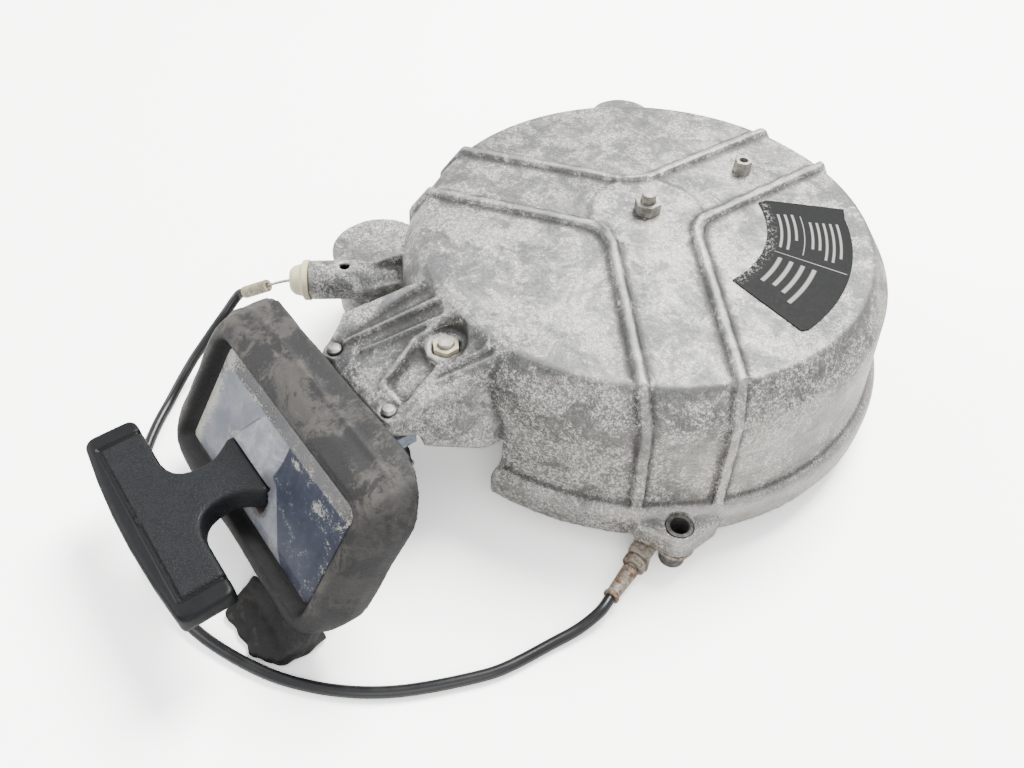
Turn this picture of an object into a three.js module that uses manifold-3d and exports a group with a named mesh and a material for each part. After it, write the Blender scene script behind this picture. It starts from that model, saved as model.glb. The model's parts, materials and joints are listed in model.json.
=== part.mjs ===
// Manual recoil starter for a mid-size two-stroke outboard engine.
//
// The cast case is a shallow bell that bolts over the flywheel. A rope drum turns on a shaft
// under the bell's crown, a snout on the front guides the rope past two rollers, and the rope
// ends in a T-handle that rests in a sheet-metal plate with a rubber seal round it. A sprung stop
// plunger, worked by a cable from the gear linkage, locks the drum.
//
// Millimetres, +Z up along the crankshaft axis, the rope pulled towards -Y.
// Sub-parts are first placed in the case's own frame: the drum axis is x = y = 0 and the case's
// rim is z = 0. The last lines stand the whole object on its base, centred on its bounding box.

import Module from 'manifold-3d';
import * as THREE from 'three';
import { ConvexGeometry } from 'three/addons/geometries/ConvexGeometry.js';
import { mergeVertices } from 'three/addons/utils/BufferGeometryUtils.js';

const wasm = await Module();
wasm.setup();

// ---------------------------------------------------------------- driving dimensions

const GAP = 0.3; // clearance kept between touching pieces

const HUB_RADIUS = 31.8; // raised round land in the middle of the crown
const HUB_TOP = 97;
const CROWN_RADIUS = 125; // where the crown turns down into the shoulder
const CROWN_EDGE_Z = 89.7;
const CROWN_HUB_Z = 95.8;
const SHOULDER_RADIUS = 137;
const SHOULDER_Z = 72.3;
const SKIRT_RADIUS = 142.4;
const SKIRT_Z = 19.2;
const RIM_RADIUS = 148.4;
const WALL = 4;
const CASE_SEGMENTS = 64;

const ARM_ANGLES = [-150, -33, 90]; // the three mounting arms, anticlockwise from above
const ARM_NAMES = ['left', 'right', 'back'];
const RIB_OFFSET = 23.5; // each rib's distance from its arm's centre line
const RIB_WIDTH = 5;
const RIB_HEIGHT = 3.2;
const RIB_FILLET = 24;

const LUG_HOLE_RADIUS = 152.1;
const LUG_HEIGHT = 14;
const COLLAR_RADIUS = 7;
const COLLAR_BORE = 5;
const FOOT_DROP = 15; // how far the mounting collars stand below the rim

const ROPE_RADIUS = 2.6;
const ROPE_Z = 33;
const ROPE_PITCH_RADIUS = 68;

const ROLLERS = { left: [-43.2, -178.4], right: [10.2, -177.8] };
const ROLLER_RADIUS = 8;
const ROLLER_HEIGHT = 26;
const PIN_RADIUS = 3;
const PIN_BOSS_Z = 60; // where the roller pins' heads sit on the snout
const SNOUT_FLOOR_Z = 37;
const GUIDE_BOLT = [2.5, -137.5];
const GUIDE_BOLT_Z = 70.8; // where the guide nut's lower face sits in its pocket
const GUIDE_LAND_Z = GUIDE_BOLT_Z + 5; // the flat land round that pocket

const STOP_ANGLE = -125.5; // direction of the stop plunger's tube
const STOP_Z = 50;
const STOP_TUBE_RADIUS = 11.5;
const STOP_TUBE_END = 193;

const COVER_CENTRE = [-10.2, -240, 40.4]; // middle of the handle plate's face
const COVER_TILT = 35.4; // degrees that the plate leans back from upright
const PLATE_WIDTH = 131;
const PLATE_HEIGHT = 59.4;

const HANDLE_X = -18.7;
const GRIP_LENGTH = 125.6;
const NECK_END = -242.4; // where the handle's neck seats in the plate
const NECK_HALF = 20.8;
const GRIP_THICKNESS = 15;
const GRIP_OUTER_Y = -306.5;
const GRIP_INNER_Y = -279.2;

const CABLE_RADIUS = 2.9;

// ---------------------------------------------------------------- solid helpers

const rad = THREE.MathUtils.degToRad;

function polar(radius, degrees) {
  return [radius * Math.cos(rad(degrees)), radius * Math.sin(rad(degrees))];
}

function signedVolume(position, index) {
  let total = 0;
  const [a, b, c] = [new THREE.Vector3(), new THREE.Vector3(), new THREE.Vector3()];
  for (let i = 0; i < index.length; i += 3) {
    a.fromBufferAttribute(position, index[i]);
    b.fromBufferAttribute(position, index[i + 1]);
    c.fromBufferAttribute(position, index[i + 2]);
    total += a.dot(b.cross(c));
  }
  return total / 6;
}

// A closed three.js geometry as a manifold solid with its faces pointing out.
function solid(geometry) {
  const bare = geometry.clone();
  bare.deleteAttribute('normal');
  bare.deleteAttribute('uv');
  const merged = mergeVertices(bare, 1e-4);
  const triangles = [];
  for (let i = 0; i < merged.index.count; i += 3) {
    const corners = [0, 1, 2].map((k) => merged.index.getX(i + k));
    if (new Set(corners).size === 3) triangles.push(...corners);
  }
  if (signedVolume(merged.attributes.position, triangles) < 0) triangles.reverse();
  return new wasm.Manifold(new wasm.Mesh({
    numProp: 3,
    vertProperties: new Float32Array(merged.attributes.position.array),
    triVerts: new Uint32Array(triangles),
  }));
}

function geometryOf(manifold) {
  const mesh = manifold.getMesh();
  const geometry = new THREE.BufferGeometry();
  geometry.setAttribute('position', new THREE.BufferAttribute(mesh.vertProperties, 3));
  geometry.setIndex(new THREE.BufferAttribute(mesh.triVerts, 1));
  geometry.computeVertexNormals();
  return geometry;
}

function union(...solids) {
  return solids.reduce((sum, next) => sum.add(next));
}

// A solid of revolution about Z from (radius, z) points.
function lathe(profile, segments = 48) {
  const points = profile.map(([r, z]) => new THREE.Vector2(r, z));
  const onAxis = profile[0][0] === 0 && profile.at(-1)[0] === 0;
  if (!onAxis) points.push(points[0].clone());
  return solid(new THREE.LatheGeometry(points, segments).rotateX(Math.PI / 2));
}

function cylinder(radius, z0, z1, [x, y] = [0, 0], segments = 32) {
  const geometry = new THREE.CylinderGeometry(radius, radius, z1 - z0, segments);
  return solid(geometry.rotateX(Math.PI / 2).translate(x, y, (z0 + z1) / 2));
}

function box([x0, x1], [y0, y1], [z0, z1]) {
  const geometry = new THREE.BoxGeometry(x1 - x0, y1 - y0, z1 - z0);
  return solid(geometry.translate((x0 + x1) / 2, (y0 + y1) / 2, (z0 + z1) / 2));
}

function prism(shape, z0, z1, curveSegments = 10) {
  const options = { depth: z1 - z0, bevelEnabled: false, curveSegments };
  return solid(new THREE.ExtrudeGeometry(shape, options).translate(0, 0, z0));
}

function polygon(points) {
  return new THREE.Shape(points.map(([x, y]) => new THREE.Vector2(x, y)));
}

function hull(points) {
  return solid(new ConvexGeometry(points.map((p) => new THREE.Vector3(...p))));
}

// A rounded rectangle's outline as points, at height z.
function roundedOutline(halfWidth, halfHeight, radius, z, [cx, cy] = [0, 0], steps = 5) {
  const points = [];
  for (let corner = 0; corner < 4; corner += 1) {
    const sx = corner === 0 || corner === 3 ? 1 : -1;
    const sy = corner < 2 ? 1 : -1;
    for (let i = 0; i <= steps; i += 1) {
      const angle = rad(90 * (corner + i / steps));
      points.push([
        cx + sx * (halfWidth - radius) + radius * Math.cos(angle),
        cy + sy * (halfHeight - radius) + radius * Math.sin(angle),
        z,
      ]);
    }
  }
  return points;
}

// A round bar along a smooth line through the points.
function bar(points, radius, steps, sides = 8) {
  const path = new THREE.CatmullRomCurve3(points.map((p) => new THREE.Vector3(...p)));
  const section = new THREE.Shape();
  section.absarc(0, 0, radius, 0, Math.PI * 2);
  const options = { extrudePath: path, steps, curveSegments: sides / 2, bevelEnabled: false };
  return solid(new THREE.ExtrudeGeometry(section, options));
}

// A hexagonal nut blank: across-flats size, from z0 to z1, with a round bore.
function nut(acrossFlats, z0, z1, bore) {
  const radius = acrossFlats / Math.sqrt(3);
  return cylinder(radius, z0, z1, [0, 0], 6).subtract(cylinder(bore, z0 - 1, z1 + 1));
}

function ring(inner, outer, z0, z1, segments = 32) {
  return lathe([[inner, z0], [outer, z0], [outer, z1], [inner, z1]], segments);
}

// ---------------------------------------------------------------- scene helpers

const finishes = {
  casting: { color: 0x9a9a98, roughness: 0.62, metalness: 0.75 },
  steel: { color: 0xa8a49c, roughness: 0.42, metalness: 0.9 },
  dull_steel: { color: 0x6f6a64, roughness: 0.55, metalness: 0.85 },
  rusty_steel: { color: 0x8a5a36, roughness: 0.8, metalness: 0.4 },
  spring_steel: { color: 0x4c4a4a, roughness: 0.4, metalness: 0.9 },
  yellow_zinc: { color: 0xcfc6a0, roughness: 0.45, metalness: 0.6 },
  bronze: { color: 0x8c6a34, roughness: 0.5, metalness: 0.9 },
  painted_plate: { color: 0x5d6577, roughness: 0.45, metalness: 0.3 },
  blue_steel: { color: 0x66707e, roughness: 0.4, metalness: 0.7 },
  handle_plastic: { color: 0x2b2f33, roughness: 0.6, metalness: 0 },
  nylon_cream: { color: 0xe4dfc4, roughness: 0.5, metalness: 0 },
  nylon_dark: { color: 0x35332f, roughness: 0.5, metalness: 0 },
  seal_rubber: { color: 0x4a4540, roughness: 0.8, metalness: 0 },
  cable_plastic: { color: 0x1b1c1e, roughness: 0.35, metalness: 0 },
  clear_sleeve: { color: 0xd9d0bf, roughness: 0.3, metalness: 0 },
  label_film: { color: 0x34373a, roughness: 0.45, metalness: 0 },
  rope_fibre: { color: 0xc9c2ad, roughness: 0.9, metalness: 0 },
};

function add(parent, name, manifold, finish) {
  const mesh = new THREE.Mesh(geometryOf(manifold), new THREE.MeshStandardMaterial(finishes[finish]));
  mesh.name = name;
  parent.add(mesh);
  return mesh;
}

function group(parent, position = [0, 0, 0]) {
  const made = new THREE.Group();
  made.position.set(...position);
  parent.add(made);
  return made;
}

// ---------------------------------------------------------------- the cast case

// Height of the crown's surface at a radius.
function crownZ(radius) {
  const share = (radius - HUB_RADIUS) / (CROWN_RADIUS - HUB_RADIUS);
  return radius < HUB_RADIUS ? HUB_TOP : CROWN_HUB_Z - share * (CROWN_HUB_Z - CROWN_EDGE_Z);
}

// The bell's outside, down to z = 0, lifted off its surface by a distance and without its rim.
function bellEnvelope(lift) {
  return lathe([
    [0, HUB_TOP + lift],
    [HUB_RADIUS - 1, HUB_TOP + lift],
    [HUB_RADIUS, CROWN_HUB_Z + lift],
    [CROWN_RADIUS + lift * 0.4, CROWN_EDGE_Z + lift],
    [SHOULDER_RADIUS + lift, SHOULDER_Z + lift * 0.3],
    [SKIRT_RADIUS + lift, SKIRT_Z],
    [SKIRT_RADIUS + lift, 0],
    [0, 0],
  ], CASE_SEGMENTS);
}

function rimBead() {
  return lathe([
    [SKIRT_RADIUS - 3, SKIRT_Z],
    [SKIRT_RADIUS + 2.2, SKIRT_Z - 0.8],
    [RIM_RADIUS - 1.3, SKIRT_Z - 2.8],
    [RIM_RADIUS, SKIRT_Z - 6.5],
    [RIM_RADIUS, 0],
    [SKIRT_RADIUS - 3, 0],
  ], CASE_SEGMENTS);
}

function bellCavity() {
  return lathe([
    [0, HUB_TOP - 6],
    [HUB_RADIUS - 4, HUB_TOP - 6],
    [CROWN_RADIUS - 2.7, CROWN_EDGE_Z - 4.6],
    [SHOULDER_RADIUS - WALL, SHOULDER_Z - 2],
    [SKIRT_RADIUS - WALL, SKIRT_Z],
    [RIM_RADIUS - WALL - 1.5, SKIRT_Z - 9],
    [RIM_RADIUS - WALL, 5],
    [RIM_RADIUS - WALL, -1],
    [0, -1],
  ], CASE_SEGMENTS);
}

// A point in an arm's frame: distance out along the arm and to its left.
function onArm(angle, along, side) {
  const [ax, ay] = polar(along, angle);
  const [sx, sy] = polar(side, angle + 90);
  return [ax + sx, ay + sy];
}

// A strip of constant width along a line of plan points.
function strip(points, width) {
  const left = [];
  const right = [];
  points.forEach((point, i) => {
    const before = points[Math.max(i - 1, 0)];
    const after = points[Math.min(i + 1, points.length - 1)];
    const length = Math.hypot(after[0] - before[0], after[1] - before[1]);
    const nx = (-(after[1] - before[1]) / length) * (width / 2);
    const ny = ((after[0] - before[0]) / length) * (width / 2);
    left.push([point[0] + nx, point[1] + ny]);
    right.unshift([point[0] - nx, point[1] - ny]);
  });
  return polygon([...left, ...right]);
}

// One rib: in along the first arm, round the hub, and out along the next arm.
function rib(from, to) {
  const half = (to - from) / 2;
  const centre = polar(RIB_OFFSET / Math.sin(rad(half)) + RIB_FILLET / Math.sin(rad(half)), from + half);
  const line = [onArm(from, 147, RIB_OFFSET - 3), onArm(from, CROWN_RADIUS - 2, RIB_OFFSET)];
  const steps = 6;
  for (let i = 0; i <= steps; i += 1) {
    const turn = from - 90 + ((2 * half - 180) * i) / steps;
    const [dx, dy] = polar(RIB_FILLET, turn);
    line.push([centre[0] + dx, centre[1] + dy]);
  }
  line.push(onArm(to, CROWN_RADIUS - 2, -RIB_OFFSET), onArm(to, 147, 3 - RIB_OFFSET));
  return prism(strip(line, RIB_WIDTH), 2, HUB_TOP + 20);
}

// A mounting lug with a rounded nose and a raised ring round its hole.
function lug(angle) {
  const nose = LUG_HOLE_RADIUS;
  const outline = new THREE.Shape();
  outline.moveTo(nose - 16, -23);
  outline.lineTo(nose - 1.5, -21.5);
  outline.lineTo(nose + 6.5, -8.5);
  outline.absarc(nose, 0, 10.6, rad(-53), rad(53));
  outline.lineTo(nose - 1.5, 21.5);
  outline.lineTo(nose - 16, 23);
  const options = { depth: LUG_HEIGHT, bevelEnabled: false, curveSegments: 8 };
  const body = solid(new THREE.ExtrudeGeometry(outline, options).rotateZ(rad(angle)));
  return union(body, cylinder(COLLAR_RADIUS + 1.6, LUG_HEIGHT - 1, LUG_HEIGHT + 1, polar(nose, angle)));
}

const LEFT_POD = { at: polar(161.5, -139.2), radius: 29, height: 44 };
const BACK_POD = { at: polar(130, 143.5), radius: 20, bottom: 56, height: 81 };

// Height of the snout's roof, which falls from the crown's edge to its front.
function roofZ(y) {
  return 57.8 + (y + 184) * 0.43;
}

// The snout's outer block: its roof's corners over its wider foot.
const SNOUT_ROOF = [
  [36, -108], [22.5, -136.5], [17.5, -154], [17, -184], [-48, -184], [-51, -176], [-57, -163], [-37, -126],
];
const SNOUT_FOOT = [
  [46, -100, 37], [43.5, -142.5, 37], [21, -169, 39], [17.5, -184, 45],
  [-48, -184, 45], [-56, -172, 39], [-78, -134, 37], [-70, -92, 37],
];

// The snout's inside, open below and in front, with solid metal left round the guide bolt.
function snoutHollow() {
  const foot = [
    [40, -90], [38, -142], [16, -167], [13, -200], [-47, -200], [-50, -170], [-72, -132], [-66, -90],
  ];
  const ceiling = [
    [30, -95], [25, -138], [17, -156], [12, -200], [-43, -200], [-45, -176], [-51, -160], [-45, -95],
  ];
  const points = foot.map(([x, y]) => [x, y, SNOUT_FLOOR_Z - 1]);
  points.push(...ceiling.map(([x, y]) => [x, y, 50.2]));
  for (const [x, y] of [[20, -95], [16, -138], [-42, -142], [-40, -95]]) {
    points.push([x, y, 59]);
  }
  return union(hull(points), box([-60, 30], [-200, -169.6], [0, 50.2]));
}

// A fin standing on the snout's roof: its crest runs through the points.
function fin(crest, width, depth) {
  const points = [];
  for (const [x, y, z] of crest) {
    points.push([x - width / 2, y, z], [x + width / 2, y, z]);
    points.push([x - width, y, z - depth], [x + width, y, z - depth]);
  }
  return hull(points);
}

// The sunk seat round the guide nut and the channel that runs from it to the snout's front.
function snoutRecess() {
  const channel = [];
  for (const [x, y] of [[-8.5, -147], [9, -147], [-4, -171], [13, -171]]) {
    channel.push([x, y, roofZ(y) - 2.6], [x, y, 90]);
  }
  return union(cylinder(11.4, GUIDE_LAND_Z, 95, GUIDE_BOLT, 28), hull(channel));
}

function snoutDetails() {
  const bosses = Object.values(ROLLERS).map((at) => cylinder(6.4, 52, PIN_BOSS_Z, at, 24));
  const pad = [
    [37, -111, 90], [22.5, -136.5, 78.5], [17, -154, 70.5],
    [12.5, -149, 72], [13.5, -132, 80], [16, -116, 89.6],
  ];
  const fins = [
    fin([[-49, -176, 62], [-56, -163.5, 69.5], [-35, -126, 87.5]], 2.2, 10),
    fin([[-43, -175, 64.5], [-19, -125, 88.5]], 1.8, 7),
    fin([[17, -154.5, 73], [37, -111, 92.4]], 1.6, 6),
    fin([[13.5, -148.5, 75], [29, -116, 92]], 1.4, 6),
    fin([[-4.5, -175, 63.6], [-7, -158, 72], [-12, -147, 76.4]], 1.4, 5),
    fin([[-12, -147, 76.4], [-9.5, -135.5, 80.6], [2, -122.5, 86]], 1.4, 5),
    fin([[2, -122.5, 86], [14, -112.5, 92]], 1.4, 5),
    fin([[-30, -170, 66.3], [-6, -122, 88.4]], 1.4, 4),
  ];
  return union(...bosses, hull(pad.flatMap(([x, y, z]) => [[x, y, z], [x, y, z - 12]])), ...fins);
}

// Turns a solid made along +Z into one along the stop plunger's axis, pointing out of the case.
function alongStop(manifold) {
  const geometry = geometryOf(manifold).rotateY(Math.PI / 2).rotateZ(rad(STOP_ANGLE));
  return solid(geometry.translate(0, 0, STOP_Z));
}

function stopWeb(inner, outer, zInner, zOuter, side) {
  const points = [];
  for (const across of [side - 1.8, side + 1.8]) {
    for (const [out, z] of [[inner, STOP_Z], [inner, zInner], [outer, STOP_Z], [outer, zOuter]]) {
      const [x, y] = polar(out, STOP_ANGLE);
      const [sx, sy] = polar(across, STOP_ANGLE + 90);
      points.push([x + sx, y + sy, z]);
    }
  }
  return hull(points);
}

function starterCase() {
  const envelope = bellEnvelope(RIB_HEIGHT);
  const ribs = ARM_ANGLES.map((angle, i) => {
    const next = i < 2 ? ARM_ANGLES[i + 1] : ARM_ANGLES[0] + 360;
    return rib(angle, next).intersect(envelope);
  });
  const outside = union(
    bellEnvelope(0),
    rimBead(),
    ...ribs,
    ...ARM_ANGLES.map(lug),
    cylinder(LEFT_POD.radius, 0, LEFT_POD.height, LEFT_POD.at, 40),
    cylinder(BACK_POD.radius, BACK_POD.bottom, BACK_POD.height, BACK_POD.at, 32),
  );
  const skirtGap = box([-79, 43.6], [-165, -100], [-2, SNOUT_FLOOR_Z]);
  const block = hull([...SNOUT_ROOF.map(([x, y]) => [x, y, roofZ(y)]), ...SNOUT_FOOT]);
  const tube = alongStop(cylinder(STOP_TUBE_RADIUS, 134, STOP_TUBE_END));
  const webs = [
    stopWeb(132, 163, 74, 60.5, 0), stopWeb(134, 166, 60, 52, 11), stopWeb(134, 172, 58, 52, -11),
  ];
  const springSeat = ring(60, 66, SPRING_CASE_TOP + GAP, 90, 48);
  const hubSeat = union(cylinder(15, 84, HUB_TOP - 5, [0, 0], 32), springSeat);
  const lugHole = (angle) => {
    const at = polar(LUG_HOLE_RADIUS, angle);
    return cylinder(COLLAR_RADIUS + GAP, -1, LUG_HEIGHT + 3, at, 32);
  };
  const holes = union(
    cylinder(4.4, 80, HUB_TOP + 5, [0, 0], 24),
    cylinder(4 + GAP, 40, GUIDE_BOLT_Z + 5, GUIDE_BOLT, 20),
    cylinder(8.1, GUIDE_BOLT_Z, 90, GUIDE_BOLT, 6),
    ...Object.values(ROLLERS).map((at) => cylinder(PIN_RADIUS + GAP, 40, PIN_BOSS_Z + 5, at, 16)),
    ...Object.values(ROLLERS).map((at) => cylinder(5.2, PIN_BOSS_Z, PIN_BOSS_Z + 12, at, 20)),
    ...ARM_ANGLES.map(lugHole),
    alongStop(cylinder(8.5, 150, STOP_TUBE_END + 1)),
    alongStop(cylinder(4.6, 125, 151)),
    solid(geometryOf(cylinder(3, STOP_Z, STOP_Z + 20, polar(172, STOP_ANGLE), 16))),
    cylinder(21, -1, LEFT_POD.height - WALL, polar(164.5, -139.2), 32),
  );
  const inside = union(bellCavity(), snoutHollow()).subtract(cylinder(15, 60, HUB_TOP, GUIDE_BOLT, 24));
  return outside
    .subtract(skirtGap)
    .add(block)
    .add(snoutDetails())
    .subtract(snoutRecess())
    .add(union(cylinder(11, 60, GUIDE_LAND_Z, GUIDE_BOLT, 28), tube, ...webs))
    .subtract(inside)
    .add(hubSeat)
    .subtract(holes);
}

function caseFittings(parent) {
  add(parent, 'starter_case', starterCase(), 'casting');

  const insert = group(parent, [1.4, 76, crownZ(76) + GAP]);
  add(insert, 'threaded_insert', nut(9, 0, 8, 2.6), 'dull_steel');

  const sector = new THREE.Shape();
  sector.moveTo(...polar(66.5, -1.5));
  sector.lineTo(...polar(111, 0.2));
  sector.absarc(0, 0, 112.6, rad(2), rad(54));
  sector.lineTo(...polar(115, 58.5));
  sector.lineTo(...polar(72, 65.5));
  sector.absarc(0, 0, 66.5, rad(64), rad(-1.5), true);
  const film = bellEnvelope(0.6).subtract(bellEnvelope(0.2));
  const label = prism(sector, 80, 110, 16).intersect(film);
  add(parent, 'blank_label', label, 'label_film');

  ARM_ANGLES.forEach((angle, i) => {
    const at = group(parent, [...polar(LUG_HOLE_RADIUS, angle), 0]);
    const collar = ring(COLLAR_BORE, COLLAR_RADIUS, -FOOT_DROP, LUG_HEIGHT + 0.6);
    add(at, `mount_collar_${ARM_NAMES[i]}`, collar, 'dull_steel');
  });
}

// ---------------------------------------------------------------- drum, spring and drive

const SHAFT_RADIUS = 10;
const SHAFT_BOTTOM = 20;
const BUSH_RADIUS = 13;
const DRUM_HUB_RADIUS = 19;
const DRUM_BOTTOM = 22;
const DRUM_FLANGE_Z = 40;
const SPRING_BOTTOM = 58;
const SPRING_TOP = 76;
const SPRING_CASE_TOP = 82;
const PAWL_PIVOT = polar(48, -60);
const PAWL_BOTTOM = 11;
const PAWL_TOP = 19;

function ropeDrum() {
  const body = lathe([
    [BUSH_RADIUS + GAP, SHAFT_BOTTOM],
    [DRUM_HUB_RADIUS, SHAFT_BOTTOM],
    [DRUM_HUB_RADIUS, 38],
    [58, 38],
    [58, DRUM_BOTTOM],
    [78, DRUM_BOTTOM],
    [78, DRUM_BOTTOM + 3],
    [62, DRUM_BOTTOM + 3],
    [62, DRUM_FLANGE_Z],
    [80, DRUM_FLANGE_Z],
    [88, 45],
    [88, 54],
    [84, 54],
    [78, 46],
    [DRUM_HUB_RADIUS, 46],
    [DRUM_HUB_RADIUS, 80],
    [BUSH_RADIUS + GAP, 80],
  ], 40);
  const teeth = [];
  for (let i = 0; i < 12; i += 1) {
    const start = i * 30;
    const outline = [polar(86, start), polar(96, start + 3), polar(96, start + 8), polar(86, start + 18)];
    teeth.push(prism(polygon(outline), 46, 54));
  }
  const pinBoss = cylinder(8, PAWL_TOP + 1.5, 40, PAWL_PIVOT, 20);
  return union(body, ...teeth, pinBoss).subtract(cylinder(PIN_RADIUS + GAP, PAWL_TOP, 31, PAWL_PIVOT, 16));
}

function spiral(inner, outer, turns, thickness) {
  const steps = turns * 12;
  const line = [];
  for (let i = 0; i <= steps; i += 1) {
    line.push(polar(inner + ((outer - inner) * i) / steps, 30 * i));
  }
  return strip(line, thickness);
}

function coil(radius, wire, length, turns, sides = 6) {
  const points = [];
  const perTurn = 8;
  for (let i = 0; i <= turns * perTurn; i += 1) {
    const angle = (2 * Math.PI * i) / perTurn;
    const z = wire + ((length - 2 * wire) * i) / (turns * perTurn);
    points.push([radius * Math.cos(angle), radius * Math.sin(angle), z]);
  }
  return bar(points, wire, turns * 9, sides);
}

function drivePawl() {
  const outline = new THREE.Shape();
  outline.absarc(0, 0, 7, rad(90), rad(270));
  outline.lineTo(16, -7);
  outline.lineTo(27, -2);
  outline.lineTo(25, 4);
  outline.lineTo(12, 7);
  return prism(outline, PAWL_BOTTOM, PAWL_TOP, 8)
    .subtract(cylinder(PIN_RADIUS + GAP, PAWL_BOTTOM - 1, PAWL_TOP + 1, [0, 0], 16));
}

function drumParts(parent) {
  const shaft = union(
    cylinder(4, HUB_TOP - 14, HUB_TOP + 12, [0, 0], 24),
    cylinder(SHAFT_RADIUS, SHAFT_BOTTOM, 84 - GAP, [0, 0], 32),
  ).subtract(cylinder(3.3, SHAFT_BOTTOM - 1, SHAFT_BOTTOM + 24, [0, 0], 16));
  add(parent, 'pivot_shaft', shaft, 'steel');
  add(group(parent, [0, 0, HUB_TOP + GAP]), 'shaft_nut', nut(13, 0, 6.5, 4 + GAP), 'steel');

  add(parent, 'drum_bush', ring(SHAFT_RADIUS + GAP, BUSH_RADIUS, SHAFT_BOTTOM, 80), 'bronze');
  add(parent, 'rope_drum', ropeDrum(), 'nylon_dark');

  const wound = lathe([
    [62 + GAP, 26], [66, 25.4], [72, 26.5], [73, 32], [72, 38], [66, 39.5], [62 + GAP, 39],
  ], 48);
  add(parent, 'rope_wound', wound, 'rope_fibre');

  const springCase = union(
    ring(69, 71, SPRING_BOTTOM - 2, SPRING_CASE_TOP, 40),
    ring(22, 71, SPRING_CASE_TOP - 2, SPRING_CASE_TOP, 40),
  );
  add(parent, 'spring_case', springCase, 'dull_steel');
  const spring = prism(spiral(24, 66, 6, 1.4), SPRING_BOTTOM, SPRING_TOP);
  add(parent, 'mainspring', spring, 'spring_steel');

  const pivot = group(parent, [...PAWL_PIVOT, 0]);
  const pinHead = cylinder(5.2, 7.4, PAWL_BOTTOM - GAP);
  const pin = cylinder(PIN_RADIUS, PAWL_BOTTOM - 2, 30, [0, 0], 16).add(pinHead);
  add(pivot, 'pawl_pin', pin, 'steel');
  const pawl = add(pivot, 'drive_pawl', drivePawl(), 'steel');
  pawl.rotation.z = rad(-145);

  const clip = bar([[31, -34, 9], [37, -27, 9], [37, -14, 9], [29, -3, 9], [21, 8, 9]], 1, 16, 6);
  add(parent, 'pawl_spring', clip, 'spring_steel');

  const plate = ring(3.3 + GAP, 20, 12, 14).add(box([8, 17], [-4, 4], [10, 12.5]));
  add(parent, 'friction_plate', plate, 'dull_steel');
  const dished = lathe([[4, 14.3], [9, 16.1], [9, 17.2], [4, 15.4]], 32);
  add(parent, 'friction_spring', dished, 'spring_steel');
  add(parent, 'thrust_washer', ring(3 + GAP, 15.5, 17.6, SHAFT_BOTTOM - GAP, 32), 'steel');
  add(parent, 'centre_washer', ring(3 + GAP, 7, 9.6, 12 - GAP, 24), 'steel');
  const bolt = union(cylinder(3, 9, 40, [0, 0], 16), cylinder(10 / Math.sqrt(3), 5, 9.6 - GAP, [0, 0], 6));
  add(parent, 'centre_bolt', bolt, 'steel');
}

// ---------------------------------------------------------------- rope guide and bracket

const BRACKET = { bottom: 16, top: 49.8, left: -54.2, right: 21.2, back: -170, sheet: 2.5 };
const COVER_BACK = -18.5; // the bracket's front face, measured along the plate's normal

// Turns a solid in the cover's frame (x across, y up the slope, z out of its face) into the case's.
function coverMatrix() {
  const tilt = rad(90 - COVER_TILT);
  const matrix = new THREE.Matrix4().makeRotationX(tilt);
  return matrix.setPosition(...COVER_CENTRE);
}

function fromCover(manifold) {
  return solid(geometryOf(manifold).applyMatrix4(coverMatrix()));
}

// The y of the bracket's front face at a height.
function coverBackY(z, depth = COVER_BACK) {
  const [, cy, cz] = COVER_CENTRE;
  const slope = Math.tan(rad(COVER_TILT));
  return cy - depth / Math.cos(rad(COVER_TILT)) + (z - cz) * slope;
}

const PLATE_STUDS = [-34, 38];

function bracketSide(x, bottom) {
  const { top, back, sheet } = BRACKET;
  const points = [];
  for (const side of [x, x + sheet]) {
    points.push([side, back, bottom], [side, back, top]);
    points.push([side, coverBackY(top), top], [side, coverBackY(bottom), bottom]);
  }
  return hull(points);
}

function handleBracket() {
  const { bottom, top, left, right, back, sheet } = BRACKET;
  const floor = box([left, 15.5], [coverBackY(bottom) + 1, back], [bottom, bottom + sheet]);
  const strap = box([-8, 14.5], [back - 20, GUIDE_BOLT[1] + 9], [top - sheet, top]);
  const shelf = box([-8, right], [-205, back], [top - sheet, top]);
  const face = fromCover(box([-47, 47], [-27, 27], [COVER_BACK - sheet, COVER_BACK])
    .subtract(box([-32, 20], [-14, 20], [COVER_BACK - 9, COVER_BACK + 3])));
  const studHole = (x) => fromCover(cylinder(2.8, COVER_BACK - 9, COVER_BACK + 3, [x, 17], 16));
  const studHoles = PLATE_STUDS.map(studHole);
  const pinHoles = Object.values(ROLLERS).map((at) => cylinder(PIN_RADIUS + GAP, 5, 55, at, 16));
  return union(floor, strap, shelf, face, bracketSide(left, bottom), bracketSide(right - sheet, top - 8))
    .subtract(union(...studHoles, ...pinHoles, cylinder(4 + GAP, 40, 55, GUIDE_BOLT, 20)));
}

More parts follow.
